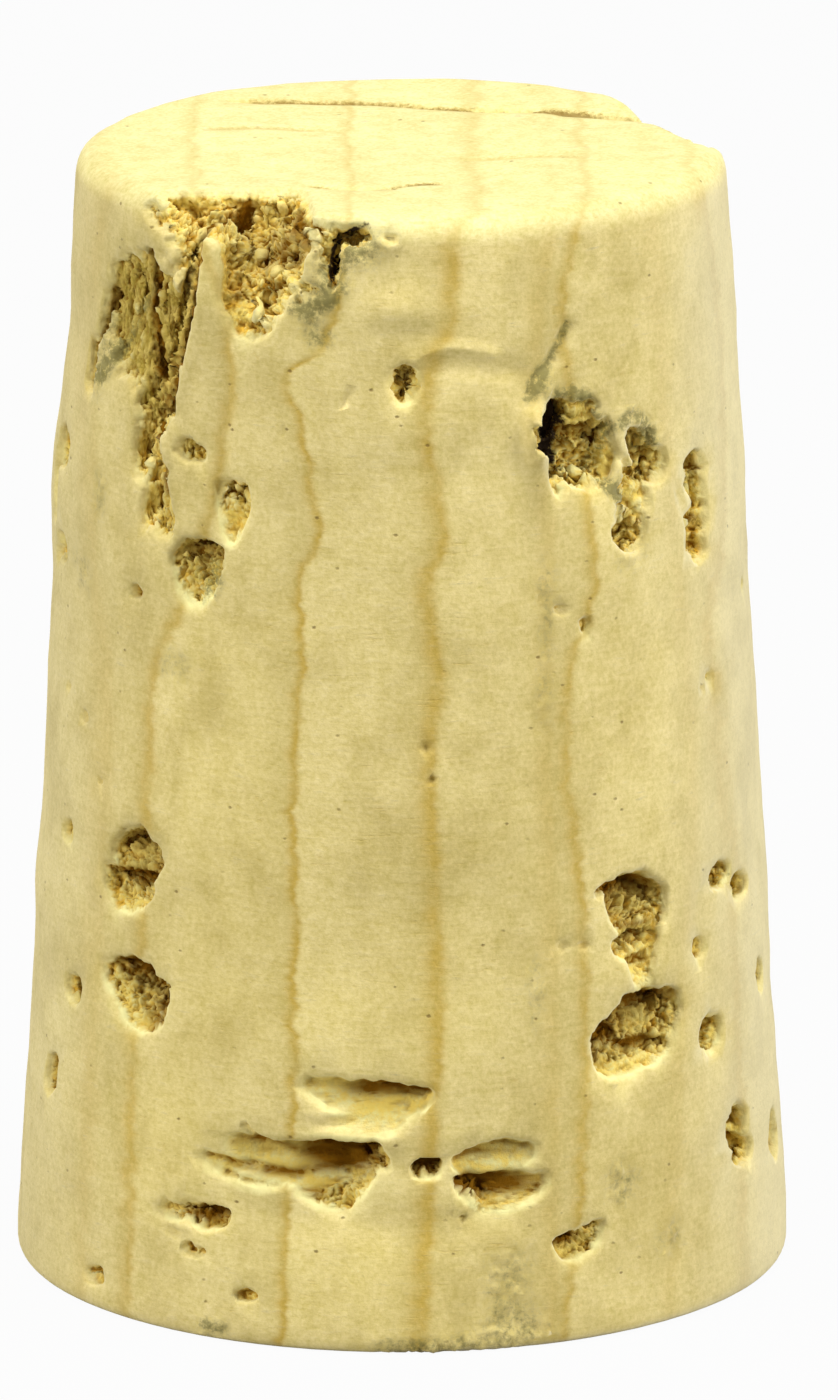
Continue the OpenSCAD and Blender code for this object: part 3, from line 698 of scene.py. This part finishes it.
# Weathered skin, shallow and crumbly: azimuth, height, half width, half height, lean, strength
ERODED = [
    (-49, 33.6, 1.3, 2.2, 6, 1.0), (-56, 33.6, 1.3, 1.9, 14, 0.9), (-45, 37.3, 1.5, 0.6, 0, 0.9),
    (-21, 37.4, 1.6, 0.5, 0, 0.9), (-40, 36.4, 0.6, 1.2, 0, 0.9), (-17, 35.6, 0.8, 1.2, 20, 0.55),
    (-45.5, 30.8, 0.8, 0.8, 0, 0.8), (-2.0, 37.4, 0.7, 0.5, 0, 0.5), (32.2, 31.1, 0.9, 0.7, 0, 0.9),
    (-57.4, 34.6, 0.75, 0.95, 10, 0.9), (-38, 25.6, 0.6, 0.9, 0, 0.6), (-3.2, 6.8, 0.22, 0.8, -35, 0.9),
    (-33, 3.0, 0.6, 0.35, 0, 0.6), (9, 4.6, 0.5, 0.3, 0, 0.6), (-12, 37.2, 0.5, 0.6, 0, 0.8),
    (42, 28.2, 0.9, 1.8, -10, 0.7),
]
ERODED_DEPTH = 0.42
# Soft clouds, darker above 0 and brighter below, on the skin and on the floors of the pores, which turn
# golden where they are brighter. Below 0 they are painted light, and above 0 inside the pores painted shade:
# azimuth, height, half width, half height, lean, amount
CLOUDS = [
    (41, 4.8, 2.6, 2.6, 0, 0.75), (12, 1.4, 3.4, 1.6, 0, 0.45), (-55, 21.5, 1.6, 5.0, 4, 0.60),
    (16, 20.0, 1.3, 8.0, 0, 0.35), (-66, 36.2, 1.6, 2.0, 0, 0.45), (26, 17.0, 0.9, 9.0, 0, 0.45),
    (-31, 30.5, 0.9, 3.6, 4, 0.45), (-27, 27.0, 0.5, 3.0, 0, 0.40), (-60, 28.5, 2.2, 1.6, 0, 0.40),
    (10, 34.0, 2.0, 0.8, 0, 0.25), (23, 33.6, 1.5, 2.0, 10, 0.35), (-44, 28.8, 0.9, 1.0, 0, 0.35),
    (36, 23.0, 1.4, 2.5, 0, 0.20), (-6, 3.0, 4.0, 1.6, 0, -1.0), (-29, 19, 2.6, 6.0, 0, -0.6),
    (-37, 6.4, 2.6, 3.0, 0, -0.8), (8, 1.0, 3.5, 1.2, 0, -0.6), (-9, 11.5, 6.0, 2.0, 0, -0.6),
    (-43.5, 11.0, 0.7, 1.2, 0, 0.7), (-49, 31.0, 0.8, 2.0, 0, 0.7),
    (-53, 33.4, 2.3, 2.6, 8, 1.9), (33, 30.6, 1.0, 0.8, 0, 0.5),
    (-37.5, 25.8, 1.0, 1.2, 0, 0.6), (-14, 36.6, 1.6, 1.4, 0, 0.45), (38, 10.6, 1.2, 1.2, 0, 0.4),
    (-47.2, 29.6, 0.7, 1.3, -15, -0.9), (-44.0, 27.4, 0.5, 0.9, -15, -0.9), (-26, 36.3, 3.4, 1.5, 0, -0.55),
    (-28.8, 28.2, 0.7, 1.1, 0, -0.8), (0.5, 32.3, 0.5, 0.8, 0, -0.7), (-39.2, 29.7, 0.7, 0.6, 0, -0.6),
    (31.8, 28.9, 0.9, 0.9, 0, -1.2), (36.5, 27.6, 0.8, 1.2, 0, -0.5), (60, 27.6, 0.7, 0.5, 0, -0.8),
    (62, 14.2, 0.7, 0.7, 0, -0.5), (68, 13.5, 0.7, 0.7, 0, -0.5), (56, 9.0, 0.8, 0.8, 0, -0.7),
    (63, 5.2, 0.8, 1.0, 0, -0.6), (34.0, 8.9, 1.4, 0.8, -20, -0.9), (39, 12.5, 1.2, 0.6, 0, -0.8),
    (-48.8, 10.5, 0.9, 0.7, 20, -1.3), (-50.0, 14.3, 0.7, 0.4, 0, -0.6), (-47.5, 15.8, 0.9, 0.8, 0, 0.9),
    (40.5, 14.6, 1.0, 0.7, 0, 0.6), (43.0, 10.8, 1.0, 0.6, 0, 0.5), (33, 29.5, 0.6, 0.6, 0, -0.8),
]
# Part of a crack's or hollow's rim that is steep, how ragged each is, and how far a crack flares outside it
STEEP = 0.45
DENT_RAGGED = 0.35
CRACK_RAGGED = 0.7
CRACK_FLARE = 0.3
# Half width and depth of a groove on the small end, as shares of its line's width, and the distances in mm
# below the small end between which it comes in
GROOVE_WIDTH = 0.6
GROOVE_DEPTH = 0.9
GROOVE_FADE = (0.8, 0.4)


def soft(distance):
    return np.exp(-distance * distance)


def marks(points, spots, strokes=()):
    """Sum of soft spots and soft strokes on the wall."""
    total = np.zeros(len(points))
    for azimuth, z, wide, tall, lean, amount in spots:
        total += soft(spot(points, azimuth, z, wide, tall, lean)) * amount
    for wide, amount, course in strokes:
        total += soft(stroke(points, course) / wide) * amount
    return total * near_wall(points)


def end_grooves(points):
    """How deep the lines of the small end go at each point."""
    deep = np.zeros(len(points))
    for width, strength, course in END_LINES:
        near = along_course(points[:, 0], points[:, 1], course)
        deep = np.maximum(deep, soft(near / (GROOVE_WIDTH * width)) * strength * width * GROOVE_DEPTH)
    return deep * ease(points[:, 2], HEIGHT - GROOVE_FADE[0], HEIGHT - GROOVE_FADE[1])


def digs(points, rough):
    """How deep the cracks and small hollows go at each point, with ragged outlines."""
    deep = np.zeros(len(points))
    for azimuth, z, wide, tall, lean, depth in DENTS:
        inside = 1.0 - spot(points, azimuth, z, wide, tall, lean) - rough * DENT_RAGGED
        deep = np.maximum(deep, ease(inside, 0.0, STEEP) * depth)
    for wide, depth, course in CRACKS:
        inside = 1.0 - stroke(points, course) / wide - rough * CRACK_RAGGED
        deep = np.maximum(deep, ease(inside, -CRACK_FLARE, STEEP) * depth)
    return deep * near_wall(points)


def mesh_arrays(mesh):
    """Points and normals of a mesh as arrays, and its edges."""
    count = len(mesh.vertices)
    points = np.empty(count * 3)
    mesh.vertices.foreach_get("co", points)
    normals = np.empty(count * 3)
    mesh.vertices.foreach_get("normal", normals)
    edges = np.empty(len(mesh.edges) * 2, dtype=np.int32)
    mesh.edges.foreach_get("vertices", edges)
    return points.reshape(-1, 3), normals.reshape(-1, 3), edges.reshape(-1, 2)


# Depths under the skin between which cork counts as broken: for its relief, its crumbs and its colour
BROKEN_RELIEF = (0.07, 0.24)
BROKEN_CRUMBS = (0.10, 0.32)
BROKEN_COLOUR = (0.17, 0.36)
# Depths under the skin between which a pore begins to widen
WIDENING = (0.22, 0.65)
# Depth under the skin from which the mesh is halved
REFINED = 0.12
# The relief fades in between these heights above the large end
HOLD = (0.05, 1.2)
# Rounds of evening out that carry the mouth of a pore a little way over the skin, and further
NEAR_ROUNDS = 14
AROUND_ROUNDS = 30
# Values between which patches of the skin turn frail, are worn away near a pore, and crumble by themselves
FRAIL = (-0.2, 0.3)
WORN = (0.26, 0.40)
CRUMBLING = (0.40, 0.62)
# Width of the edge of the ovals in which the scooped pores replace the solid's, as a share of their size
COVER_EDGE = 0.2
# Steps in which a value slides down the mesh
SLIDE_STEPS = 14
# How far below a pore's mouth the skin slopes down to it, and how far the painted highlight below it reaches,
# in mm
APRON_REACH = 0.9
LIP_HIGHLIGHT_REACH = 0.7
# Thickness of the steep upper edge of a scooped pore, and how ragged it is
SCOOP_EDGE = 0.14
SCOOP_RAGGED = 0.10
# How far the painted shade of the darker upper walls reaches down into a pore, and the painted light of its
# bright floor up from the lower lip
ROOF_SHADE_REACH = 0.7
FLOOR_LIGHT_REACH = 1.1
# Height of the crust on stained skin, and the strength of a stain between which it rises
CRUST_HEIGHT = 0.07
CRUST = (0.2, 0.7)
# How often the crumbs repeat across X, Y and Z where the cork is fibrous and where it is shredded
FIBRE_WAVES = (0.5, 1.0, 2.2)
SHRED_WAVES = (1.9, 1.9, 0.55)
# Waves to the millimetre of the uneven size of the crumbs
UNEVEN_SCALE = 0.75
# Mean of the hard noise below, and the factor that brings it to about -1 to 1
CLUMP_MEAN = 0.38
CLUMP_GAIN = 2.4
# Heights of fine ridges between which the painted highlight on their tops comes in
RIDGE = (0.004, 0.04)
# Depths of fine creases and of wide hollows, and depths under the skin, between which the brown painted shade
# comes in
CREASE = (0.008, 0.045)
BASIN = (0.03, 0.14)
DARK_DEPTH = (0.8, 2.4)
# How brown the painted shade is in creases, hollows and deep places, and in the upper part of a scooped pore
CREASE_BROWN = 0.65
BASIN_BROWN = 0.32
DEPTH_BROWN = 0.35
SCOOP_BROWN = 0.50
# How brown the painted shade in the grooves of the small end is for each millimetre of depth
GROOVE_BROWN = 4.0
# Cracks of less than this half width are brown to the bottom with painted shade
FINE_CRACK = 0.4


def clumps(point, scale, octaves):
    """Rounded clumps with sharp creases between them, each with smaller ones on it, about -1 to 1."""
    hard = noise.turbulence(point * scale, octaves, True, noise_basis="PERLIN_ORIGINAL",
                            amplitude_scale=0.65, frequency_scale=2.2)
    return (hard - CLUMP_MEAN) * CLUMP_GAIN


def slide(points, edges, values, reach, way=1.0):
    """Carries a value down the mesh, or up when the way is -1; it fades evenly over the reach."""
    level = points[:, 2] * way
    first_is_low = level[edges[:, 0]] < level[edges[:, 1]]
    low = np.where(first_is_low, edges[:, 0], edges[:, 1])
    high = np.where(first_is_low, edges[:, 1], edges[:, 0])
    along = np.linalg.norm(points[high] - points[low], axis=1)
    steep = level[high] - level[low] > 0.5 * along
    low, high, loss = low[steep], high[steep], along[steep] / reach
    values = values.copy()
    for _ in range(SLIDE_STEPS):
        np.maximum.at(values, low, values[high] - loss)
    return values


def move_points(mesh, points):
    mesh.vertices.foreach_set("co", points.ravel())
    mesh.update()


def scoops(points, rough, fibres):
    """How deep the scooped pores go at each point, and its rank in them: 0 at the top, 1 at the lower lip."""
    deep = np.zeros(len(points))
    rank = np.zeros(len(points))
    for azimuth, top, wide, tall, rise, drop, side, depth in SCOOPS:
        along, height = unrolled(points, azimuth)
        u = along / wide
        fall = top + rise * u - drop * u * u - height + SCOOP_RAGGED * rough
        narrow = np.sqrt(np.clip(1.0 - u * u, 0.0, 1.0))
        place_in = fall / (tall * np.maximum(narrow, 0.3))
        slope = np.clip(1.0 - place_in, 0.0, 1.0)
        slope *= 1.0 + 0.5 * fibres * slope
        slope *= 1.0 - abs(side) * ease(-math.copysign(1.0, side) * u, -0.5, 1.0)
        here = ease(fall, -SCOOP_EDGE, 0.0) * ease(narrow, 0.0, 0.45) * slope * depth
        rank = np.where(here > deep, place_in, rank)
        deep = np.maximum(deep, here)
    return deep * near_wall(points), rank


def scooped(points, rough):
    """The depth of each point under the skin after the scooped pores, and where they replace the solid's."""
    covered = np.zeros(len(points))
    for azimuth, z, wide, tall, lean in COVERS:
        within = 1.0 + COVER_EDGE - spot(points, azimuth, z, wide, tall, lean)
        covered = np.maximum(covered, ease(within, 0.0, COVER_EDGE))
    covered *= near_wall(points)
    fibres = ripple(points * np.array([0.45, 0.9, 3.4]), 1.0, 21.0) + 0.4 * ripple(points, 1.6, 4.0)
    deep, _ = scoops(points, rough, fibres)
    return covered * deep + (1.0 - covered) * np.maximum(skin_depth(points), deep), covered


def carve_skin(mesh, sizes):
    """Cuts cracks and small hollows, wears the mouths of the pores and makes the wall uneven."""
    points, normals, edges = mesh_arrays(mesh)
    points += outward(points) * np.minimum(skin_depth(points), 0.0)[:, None]
    rough = ripple(points, 2.6) + 0.6 * ripple(points, 6.5, 3.0)
    depth, covered = scooped(points, rough)
    points -= outward(points) * (depth - skin_depth(points))[:, None]
    roof = np.clip(-normals[:, 2], 0.0, 1.0)
    inside = depth_between(points, WIDENING) * ease(points[:, 2], 0.6, 1.4)
    broken = depth_between(points, BROKEN_RELIEF)
    near = spread(broken, edges, NEAR_ROUNDS)
    around = spread(near, edges, AROUND_ROUNDS)
    frail = ease(ripple(points, 0.9, 11.0), *FRAIL)
    worn = ease(around * (0.5 + 0.5 * frail) + 0.22 * rough, *WORN) * (1.0 - broken) * sizes.wear
    smooth = covered * np.clip(marks(points, FIBROUS), 0.0, 1.0)
    worn *= 1.0 - smooth
    wave = ripple(points, 0.22, 9.0) + 0.5 * ripple(points, 0.7, 5.0)
    apron = spread(slide(points, edges, broken, APRON_REACH), edges, 4) * (0.6 + 0.4 * frail)
    swell = marks(points, SWELLS, FOLDS) + sizes.wave * wave - sizes.lip * near - sizes.apron * apron
    crumbling = ease(marks(points, ERODED) + 0.35 * rough, *CRUMBLING) * (1.0 - broken)
    dug = digs(points, rough) + end_grooves(points) + worn + ERODED_DEPTH * crumbling
    lift = swell * (1.0 - broken * 0.5) - dug * (1.0 - 0.6 * broken)
    points += outward(points) * (lift * ease(points[:, 2], *HOLD))[:, None]
    points -= normals * (inside * sizes.undercut * (0.5 + 0.8 * roof) * (1.0 - smooth))[:, None]
    move_points(mesh, points)


def crumb_shape(where, fibre, shred, scale):
    """Height of the crumbs at a place: long along the fibres, upright where shredded, else round."""
    if fibre > 0.5:
        return clumps(Vector([value * waves for value, waves in zip(where, FIBRE_WAVES)]), scale, 3)
    if shred > 0.5:
        return clumps(Vector([value * waves for value, waves in zip(where, SHRED_WAVES)]), scale, 4)
    uneven = noise.noise(where * UNEVEN_SCALE)
    return clumps(where, scale, 4) * (1.0 + uneven) + 0.9 * uneven


def formed_depth(points):
    """How far each point lies under the skin with its folds and swellings, in millimetres."""
    return skin_depth(points) + marks(points, SWELLS, FOLDS)


def carve_crumbs(mesh, sizes):
    """Fills the pores, cracks and broken edges with loose, crumbling cork."""
    points, normals, edges = mesh_arrays(mesh)
    deep = formed_depth(points)
    broken = ease(deep, *BROKEN_CRUMBS)
    fibre = np.clip(marks(points, FIBROUS), 0.0, 1.0)
    shred = marks(points, SHREDDED)
    bumps = np.zeros(len(points))
    for i in np.nonzero(broken > 0.02)[0]:
        bumps[i] = crumb_shape(Vector(points[i]), fibre[i], shred[i], 1.0 / sizes.grain)
    upward = ease(spread(normals[:, 2], edges, 6), -0.1, 0.5)
    height = sizes.crumble * broken * (1.0 - 0.82 * fibre) * (0.35 + 0.65 * ease(deep, 0.15, 1.0))
    height *= 0.5 + 0.5 * upward
    crust = np.clip(marks(points, STAINS, VEINS), 0.0, 1.0) * (1.0 - broken)
    for i in np.nonzero(crust > CRUST[0])[0]:
        bumps[i] = clumps(Vector(points[i]), 2.4, 3) - 0.3
    height += CRUST_HEIGHT * ease(crust, *CRUST)
    points += normals * (bumps * height)[:, None]
    over = np.minimum(skin_depth(points), 0.0) * spread(broken, edges, 4)
    points += outward(points) * over[:, None]
    move_points(mesh, points)


def bent(points, normals, edges, rounds):
    """How far each point lies below the evened-out surface around it: above 0 in a crease."""
    even = np.stack([spread(points[:, k], edges, rounds) for k in range(3)], axis=1)
    return np.einsum("ij,ij->i", even - points, normals)


def paint(mesh):
    """Stores where the cork is broken, creased and brown with painted shade, bright with painted light,
    stained and blackened, for the material to read.
    """
    points, normals, edges = mesh_arrays(mesh)
    move_points(mesh, np.clip(points, np.array(LOW) / MM, np.array(HIGH) / MM))
    depth = formed_depth(points)
    hollow = bent(points, normals, edges, 3)
    basin = bent(points, normals, edges, 14)
    broken = ease(depth, *BROKEN_COLOUR)
    fibre = np.clip(marks(points, FIBROUS), 0.0, 1.0)
    deep, rank = scoops(points, 0.0, 0.0)
    scoop = ease(deep, 0.04, 0.16) * ease(depth, 0.25, 0.8)
    # Painted light and shade inside the pores: faces turned upwards and the parts above the lower lip take
    # the lit crumb colour, the parts under the top edge the shaded wall colour
    shade_under_top = spread(slide(points, edges, 1.0 - broken, ROOF_SHADE_REACH), edges, 2) * ease(depth, 0.35, 1.0)
    light_above_lip = spread(slide(points, edges, 1.0 - broken, FLOOR_LIGHT_REACH, -1.0), edges, 2)
    upward = ease(spread(normals[:, 2], edges, 3), -0.3, 0.4)
    floor = 0.3 + 0.6 * upward + 0.8 * light_above_lip - 0.5 * shade_under_top
    floor = floor * (1.0 - scoop) + scoop * ease(rank, 0.15, 0.50)
    # Painted highlight: pale below the lower lip of a pore and on the lower slope of a scooped pore
    lip = spread(slide(points, edges, broken, LIP_HIGHLIGHT_REACH), edges, 2)
    lip = np.maximum(lip, ease(deep, 0.0, 0.06) * ease(rank, 0.40, 0.80)) * (1.0 - broken)
    # Brown painted shade in fine creases, wide hollows and deep places, under the top edges, in the upper
    # parts of the scooped pores, in the grooves of the small end, in the brown hollows and in the fine cracks
    crevice = ease(hollow, *CREASE) * CREASE_BROWN + ease(basin, *BASIN) * BASIN_BROWN
    crevice += ease(depth, *DARK_DEPTH) * DEPTH_BROWN
    crevice = (crevice + 0.15 * shade_under_top) * (1.0 - 0.4 * fibre) * (1.0 - 0.45 * light_above_lip)
    crevice += SCOOP_BROWN * scoop * (1.0 - ease(rank, 0.10, 0.45)) + GROOVE_BROWN * end_grooves(points)
    crevice += marks(points, BROWN_SHADE_SPOTS, [crack for crack in CRACKS if crack[0] < FINE_CRACK])
    values = {"broken": broken, "crevice": crevice, "ridge": ease(-hollow, *RIDGE), "floor": floor,
              "fibre": fibre, "lip": lip, "shaded": marks(points, CLOUDS),
              "stain": marks(points, STAINS, VEINS), "soot": marks(points, (), SOOT_AND_HOLE_SHADE)}
    for name, value in values.items():
        layer = mesh.attributes.new(name, "FLOAT", "POINT")
        layer.data.foreach_set("value", np.clip(value, -1.0, 2.0).astype(np.float32))


def applied(piece, **modifiers):
    """Adds modifiers to a piece and makes their result its mesh."""
    for kind, settings in modifiers.items():
        modifier = piece.modifiers.new(kind.title(), kind)
        for name, value in settings.items():
            setattr(modifier, name, value)
    graph = bpy.context.evaluated_depsgraph_get()
    mesh = bpy.data.meshes.new_from_object(piece.evaluated_get(graph))
    piece.modifiers.clear()
    old, piece.data = piece.data, mesh
    bpy.data.meshes.remove(old)
    return mesh


# Where loose lumps of cork lie: azimuths, heights, tries, smallest and largest radius
LUMP_BEDS = [
    ((-54, -16), (33.4, 37.9), 140, 0.10, 0.26), ((-50, -40), (26.6, 32.6), 30, 0.08, 0.18),
    ((-42, -26), (24.8, 28.8), 20, 0.10, 0.22), ((24, 50), (25.8, 31.6), 80, 0.10, 0.24),
    ((32, 49), (7.6, 15.6), 60, 0.10, 0.24), ((-55, -38), (9.2, 16.8), 50, 0.10, 0.24),
    ((50, 84), (2.6, 16.0), 60, 0.10, 0.22), ((-84, -55), (5.0, 30.0), 60, 0.10, 0.22),
    ((90, 270), (2.0, 36.0), 300, 0.10, 0.28),
]
LUMP_SEED = 7
# A lump lies only where the cork is missing at least this deep
LUMP_DEPTH = 0.30
# Highest share of a lump's radius that it is squashed or drawn out by
LUMP_SQUASH = 0.45


def scatter_lumps(shape, seed):
    """Sets loose lumps of cork on the floors of the pores and of the broken edge."""
    draw = random.Random(seed)
    ground = BVHTree.FromBMesh(shape)
    for (az_a, az_b), (z_a, z_b), tries, small, large in LUMP_BEDS:
        for _ in range(tries):
            azimuth, z = draw.uniform(az_a, az_b), draw.uniform(z_a, z_b)
            radius = small + (large - small) * draw.random() ** 2
            turn = Euler([draw.uniform(0, math.tau) for _ in range(3)]).to_matrix().to_4x4()
            stretch = [1.0 + draw.uniform(-LUMP_SQUASH, LUMP_SQUASH) for _ in range(3)]
            mouth = on_wall(azimuth, z)
            inward = Vector((-mouth.x, -mouth.y, 0.0)).normalized()
            floor, _, _, depth = ground.ray_cast(mouth - inward, inward)
            if floor is None or depth < 1.0 + LUMP_DEPTH + radius * 0.8:
                continue
            size = Matrix.Diagonal((*stretch, 1.0))
            bmesh.ops.create_icosphere(shape, subdivisions=1, radius=radius,
                                       matrix=Matrix.Translation(floor) @ turn @ size)


# The sliver of whole skin that is left standing in the broken rim: its corners as (azimuth, height), how
# thick it is, and the rounding of its edges
SLIVER = ((-42.6, 31.6), (-32.0, 31.6), (-33.4, 36.9), (-38.0, 37.0))
SLIVER_THICK = 1.8
SLIVER_ROUND = 0.2


def add_sliver(shape):
    """Stands the smooth sliver of whole cork in the broken rim."""
    face = [on_wall(azimuth, z) for azimuth, z in SLIVER]
    back = [point - Vector((point.x, point.y, 0.0)).normalized() * SLIVER_THICK for point in face]
    front = [shape.verts.new(point) for point in face]
    rear = [shape.verts.new(point) for point in back]
    faces = [shape.faces.new(front), shape.faces.new(reversed(rear))]
    for k, corner in enumerate(front):
        following = (k + 1) % len(front)
        faces.append(shape.faces.new((corner, rear[k], rear[following], front[following])))
    edges = {edge for side in faces for edge in side.edges}
    bmesh.ops.bevel(shape, geom=list(edges), offset=SLIVER_ROUND, segments=2, profile=0.5,
                    affect="EDGES", material=-1)


def count_triangles(mesh):
    return sum(len(face.vertices) - 2 for face in mesh.polygons)


def refine(mesh):
    """Halves the mesh where the cork is broken, so that crumbs have room."""
    points, _, edges = mesh_arrays(mesh)
    broken = formed_depth(points) > REFINED
    chosen = broken[edges[:, 0]] & broken[edges[:, 1]]
    shape = bmesh.new()
    shape.from_mesh(mesh)
    shape.edges.ensure_lookup_table()
    picked = [shape.edges[int(i)] for i in np.nonzero(chosen)[0]]
    bmesh.ops.subdivide_edges(shape, edges=picked, cuts=1, use_grid_fill=True)
    bmesh.ops.triangulate(shape, faces=[face for face in shape.faces if len(face.verts) > 4])
    shape.to_mesh(mesh)
    shape.free()
    mesh.update()


class CORK_OT_body(bpy.types.Operator):
    """Model the stopper's crumbled, grained body over its solid"""
    bl_idname = "cork.body"
    bl_label = "Stopper body"

    def execute(self, context):
        sizes = context.scene.cork_sizes
        mesh = bpy.data.meshes.new("stopper_body")
        shape = bmesh.new()
        shape.from_mesh(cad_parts[NODE].data)
        bmesh.ops.scale(shape, vec=Vector((1, 1, 1)) / MM, verts=shape.verts)
        bmesh.ops.remove_doubles(shape, verts=shape.verts, dist=1e-4)
        scatter_lumps(shape, LUMP_SEED)
        add_sliver(shape)
        shape.to_mesh(mesh)
        shape.free()
        piece = bpy.data.objects.new("stopper_body", mesh)
        context.scene.collection.objects.link(piece)
        mesh = applied(piece, REMESH={"mode": "VOXEL", "voxel_size": sizes.voxel})
        carve_skin(mesh, sizes)
        mesh = applied(piece, REMESH={"mode": "VOXEL", "voxel_size": sizes.voxel})
        refine(mesh)
        carve_crumbs(mesh, sizes)
        mesh = applied(piece, DECIMATE={"ratio": sizes.triangles / count_triangles(mesh)})
        paint(mesh)
        mesh.transform(Matrix.Diagonal((MM, MM, MM, 1.0)))
        mesh.shade_smooth()
        mesh.materials.clear()
        mesh.materials.append(cork_material(context.scene.cork_colours))
        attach(piece, "root")
        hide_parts(NODE)
        print("stopper_body triangles", count_triangles(mesh))
        return {"FINISHED"}


# ---------------------------------------------------------------- studio

FLOOR_SIZE = 3.0
# Share of the floor's own light in its white, and colour of the rest, which keeps the shadow
FLOOR_GLOW = 0.96
FLOOR_COLOUR = (0.32, 0.32, 0.30)
# The frame's middle lies a little to the right of the stopper's axis and below its middle
AIM = Vector((0.57, 0.0, 18.93)) * MM
# Lights: name, setting that holds its power, size and place in metres, and the place they all point at
LIGHTS = (
    ("overhead", "key", 0.14, (0.01, -0.06, 0.46)),
    ("right", "right", 0.26, (0.42, -0.16, 0.20)),
    ("left", "left", 0.26, (-0.40, -0.21, 0.20)),
)
LIT = Vector((0, 0, 0.02))
# Width of the camera's sensor in mm, and the nearest and furthest distance it shows in metres
SENSOR = 36.0
NEAREST = 0.01
FURTHEST = 10.0


def seen_as_white(surface, shader, share):
    """Shows a share of pure white to the camera, gloss and glass, and the shader to everything else."""
    path = surface.add("LightPath")
    seen = path.other("Is Camera Ray")
    for name in ("Is Glossy Ray", "Is Transmission Ray"):
        seen = seen.math("MAXIMUM", path.other(name))
    white = surface.add("Emission", inputs={"Color": (1, 1, 1, 1), "Strength": 1.0})
    return surface.add("MixShader", inputs={0: seen * share, 1: shader, 2: white})


class CORK_OT_stage(bpy.types.Operator):
    """Make the floor, the white surroundings, the lights and the camera"""
    bl_idname = "cork.stage"
    bl_label = "Studio"

    def execute(self, context):
        self.make_floor(context)
        self.make_world(context)
        self.make_lights(context)
        self.make_camera(context)
        context.scene.view_settings.view_transform = "Standard"
        return {"FINISHED"}

    def make_floor(self, context):
        mesh = bpy.data.meshes.new("floor")
        shape = bmesh.new()
        bmesh.ops.create_grid(shape, x_segments=1, y_segments=1, size=FLOOR_SIZE / 2)
        shape.to_mesh(mesh)
        shape.free()
        floor = bpy.data.objects.new("floor", mesh)
        context.scene.collection.objects.link(floor)
        surface = Surface(bpy.data.materials.new("floor_paper"))
        diffuse = surface.add("BsdfDiffuse", inputs={"Color": (*FLOOR_COLOUR, 1.0)})
        surface.add("OutputMaterial", inputs={"Surface": seen_as_white(surface, diffuse, FLOOR_GLOW)})
        mesh.materials.append(surface.owner)

    def make_world(self, context):
        world = bpy.data.worlds.new("surroundings")
        context.scene.world = world
        surface = Surface(world)
        strength = context.scene.cork_studio.world
        light = surface.add("Background", inputs={"Color": (1, 1, 1, 1), "Strength": strength})
        surface.add("OutputWorld", inputs={"Surface": seen_as_white(surface, light, 1.0)})

    def make_lights(self, context):
        studio = context.scene.cork_studio
        for name, power, size, place in LIGHTS:
            light = bpy.data.lights.new(name, "AREA")
            light.shape = "DISK"
            light.size = size
            light.energy = getattr(studio, power)
            lamp = bpy.data.objects.new(name, light)
            lamp.location = place
            lamp.rotation_euler = (LIT - lamp.location).to_track_quat("-Z", "Y").to_euler()
            context.scene.collection.objects.link(lamp)

    def make_camera(self, context):
        studio = context.scene.cork_studio
        camera = bpy.data.cameras.new("camera")
        camera.sensor_width = SENSOR
        camera.lens = studio.lens
        camera.clip_start = NEAREST
        camera.clip_end = FURTHEST
        viewer = bpy.data.objects.new("camera", camera)
        back = Vector((0, -math.cos(studio.elevation), math.sin(studio.elevation)))
        viewer.location = AIM + back * studio.distance
        viewer.rotation_euler = (math.pi / 2 - studio.elevation, 0, 0)
        context.scene.collection.objects.link(viewer)
        context.scene.camera = viewer


class CORK_PT_panel(bpy.types.Panel):
    """Sizes, colours and steps of the cork stopper"""
    bl_idname = "CORK_PT_panel"
    bl_label = "Cork Stopper"
    bl_space_type = "VIEW_3D"
    bl_region_type = "UI"
    bl_category = "Cork"

    def draw(self, context):
        for group in (context.scene.cork_sizes, context.scene.cork_colours, context.scene.cork_studio):
            box = self.layout.box()
            for name in group.__annotations__:
                box.prop(group, name)
        for operator in OPERATORS:
            self.layout.operator(operator.bl_idname)


OPERATORS = (CORK_OT_body, CORK_OT_stage)
CLASSES = (CorkSizes, CorkColours, StudioSettings, *OPERATORS, CORK_PT_panel)
GROUPS = {"cork_sizes": CorkSizes, "cork_colours": CorkColours, "cork_studio": StudioSettings}


def register():
    for item in CLASSES:
        bpy.utils.register_class(item)
    for name, group in GROUPS.items():
        setattr(bpy.types.Scene, name, PointerProperty(type=group))


def unregister():
    for name in GROUPS:
        delattr(bpy.types.Scene, name)
    for item in reversed(CLASSES):
        bpy.utils.unregister_class(item)


def main():
    register()
    bpy.ops.cork.stage()
    bpy.ops.cork.body()


if __name__ == "__main__":
    main()
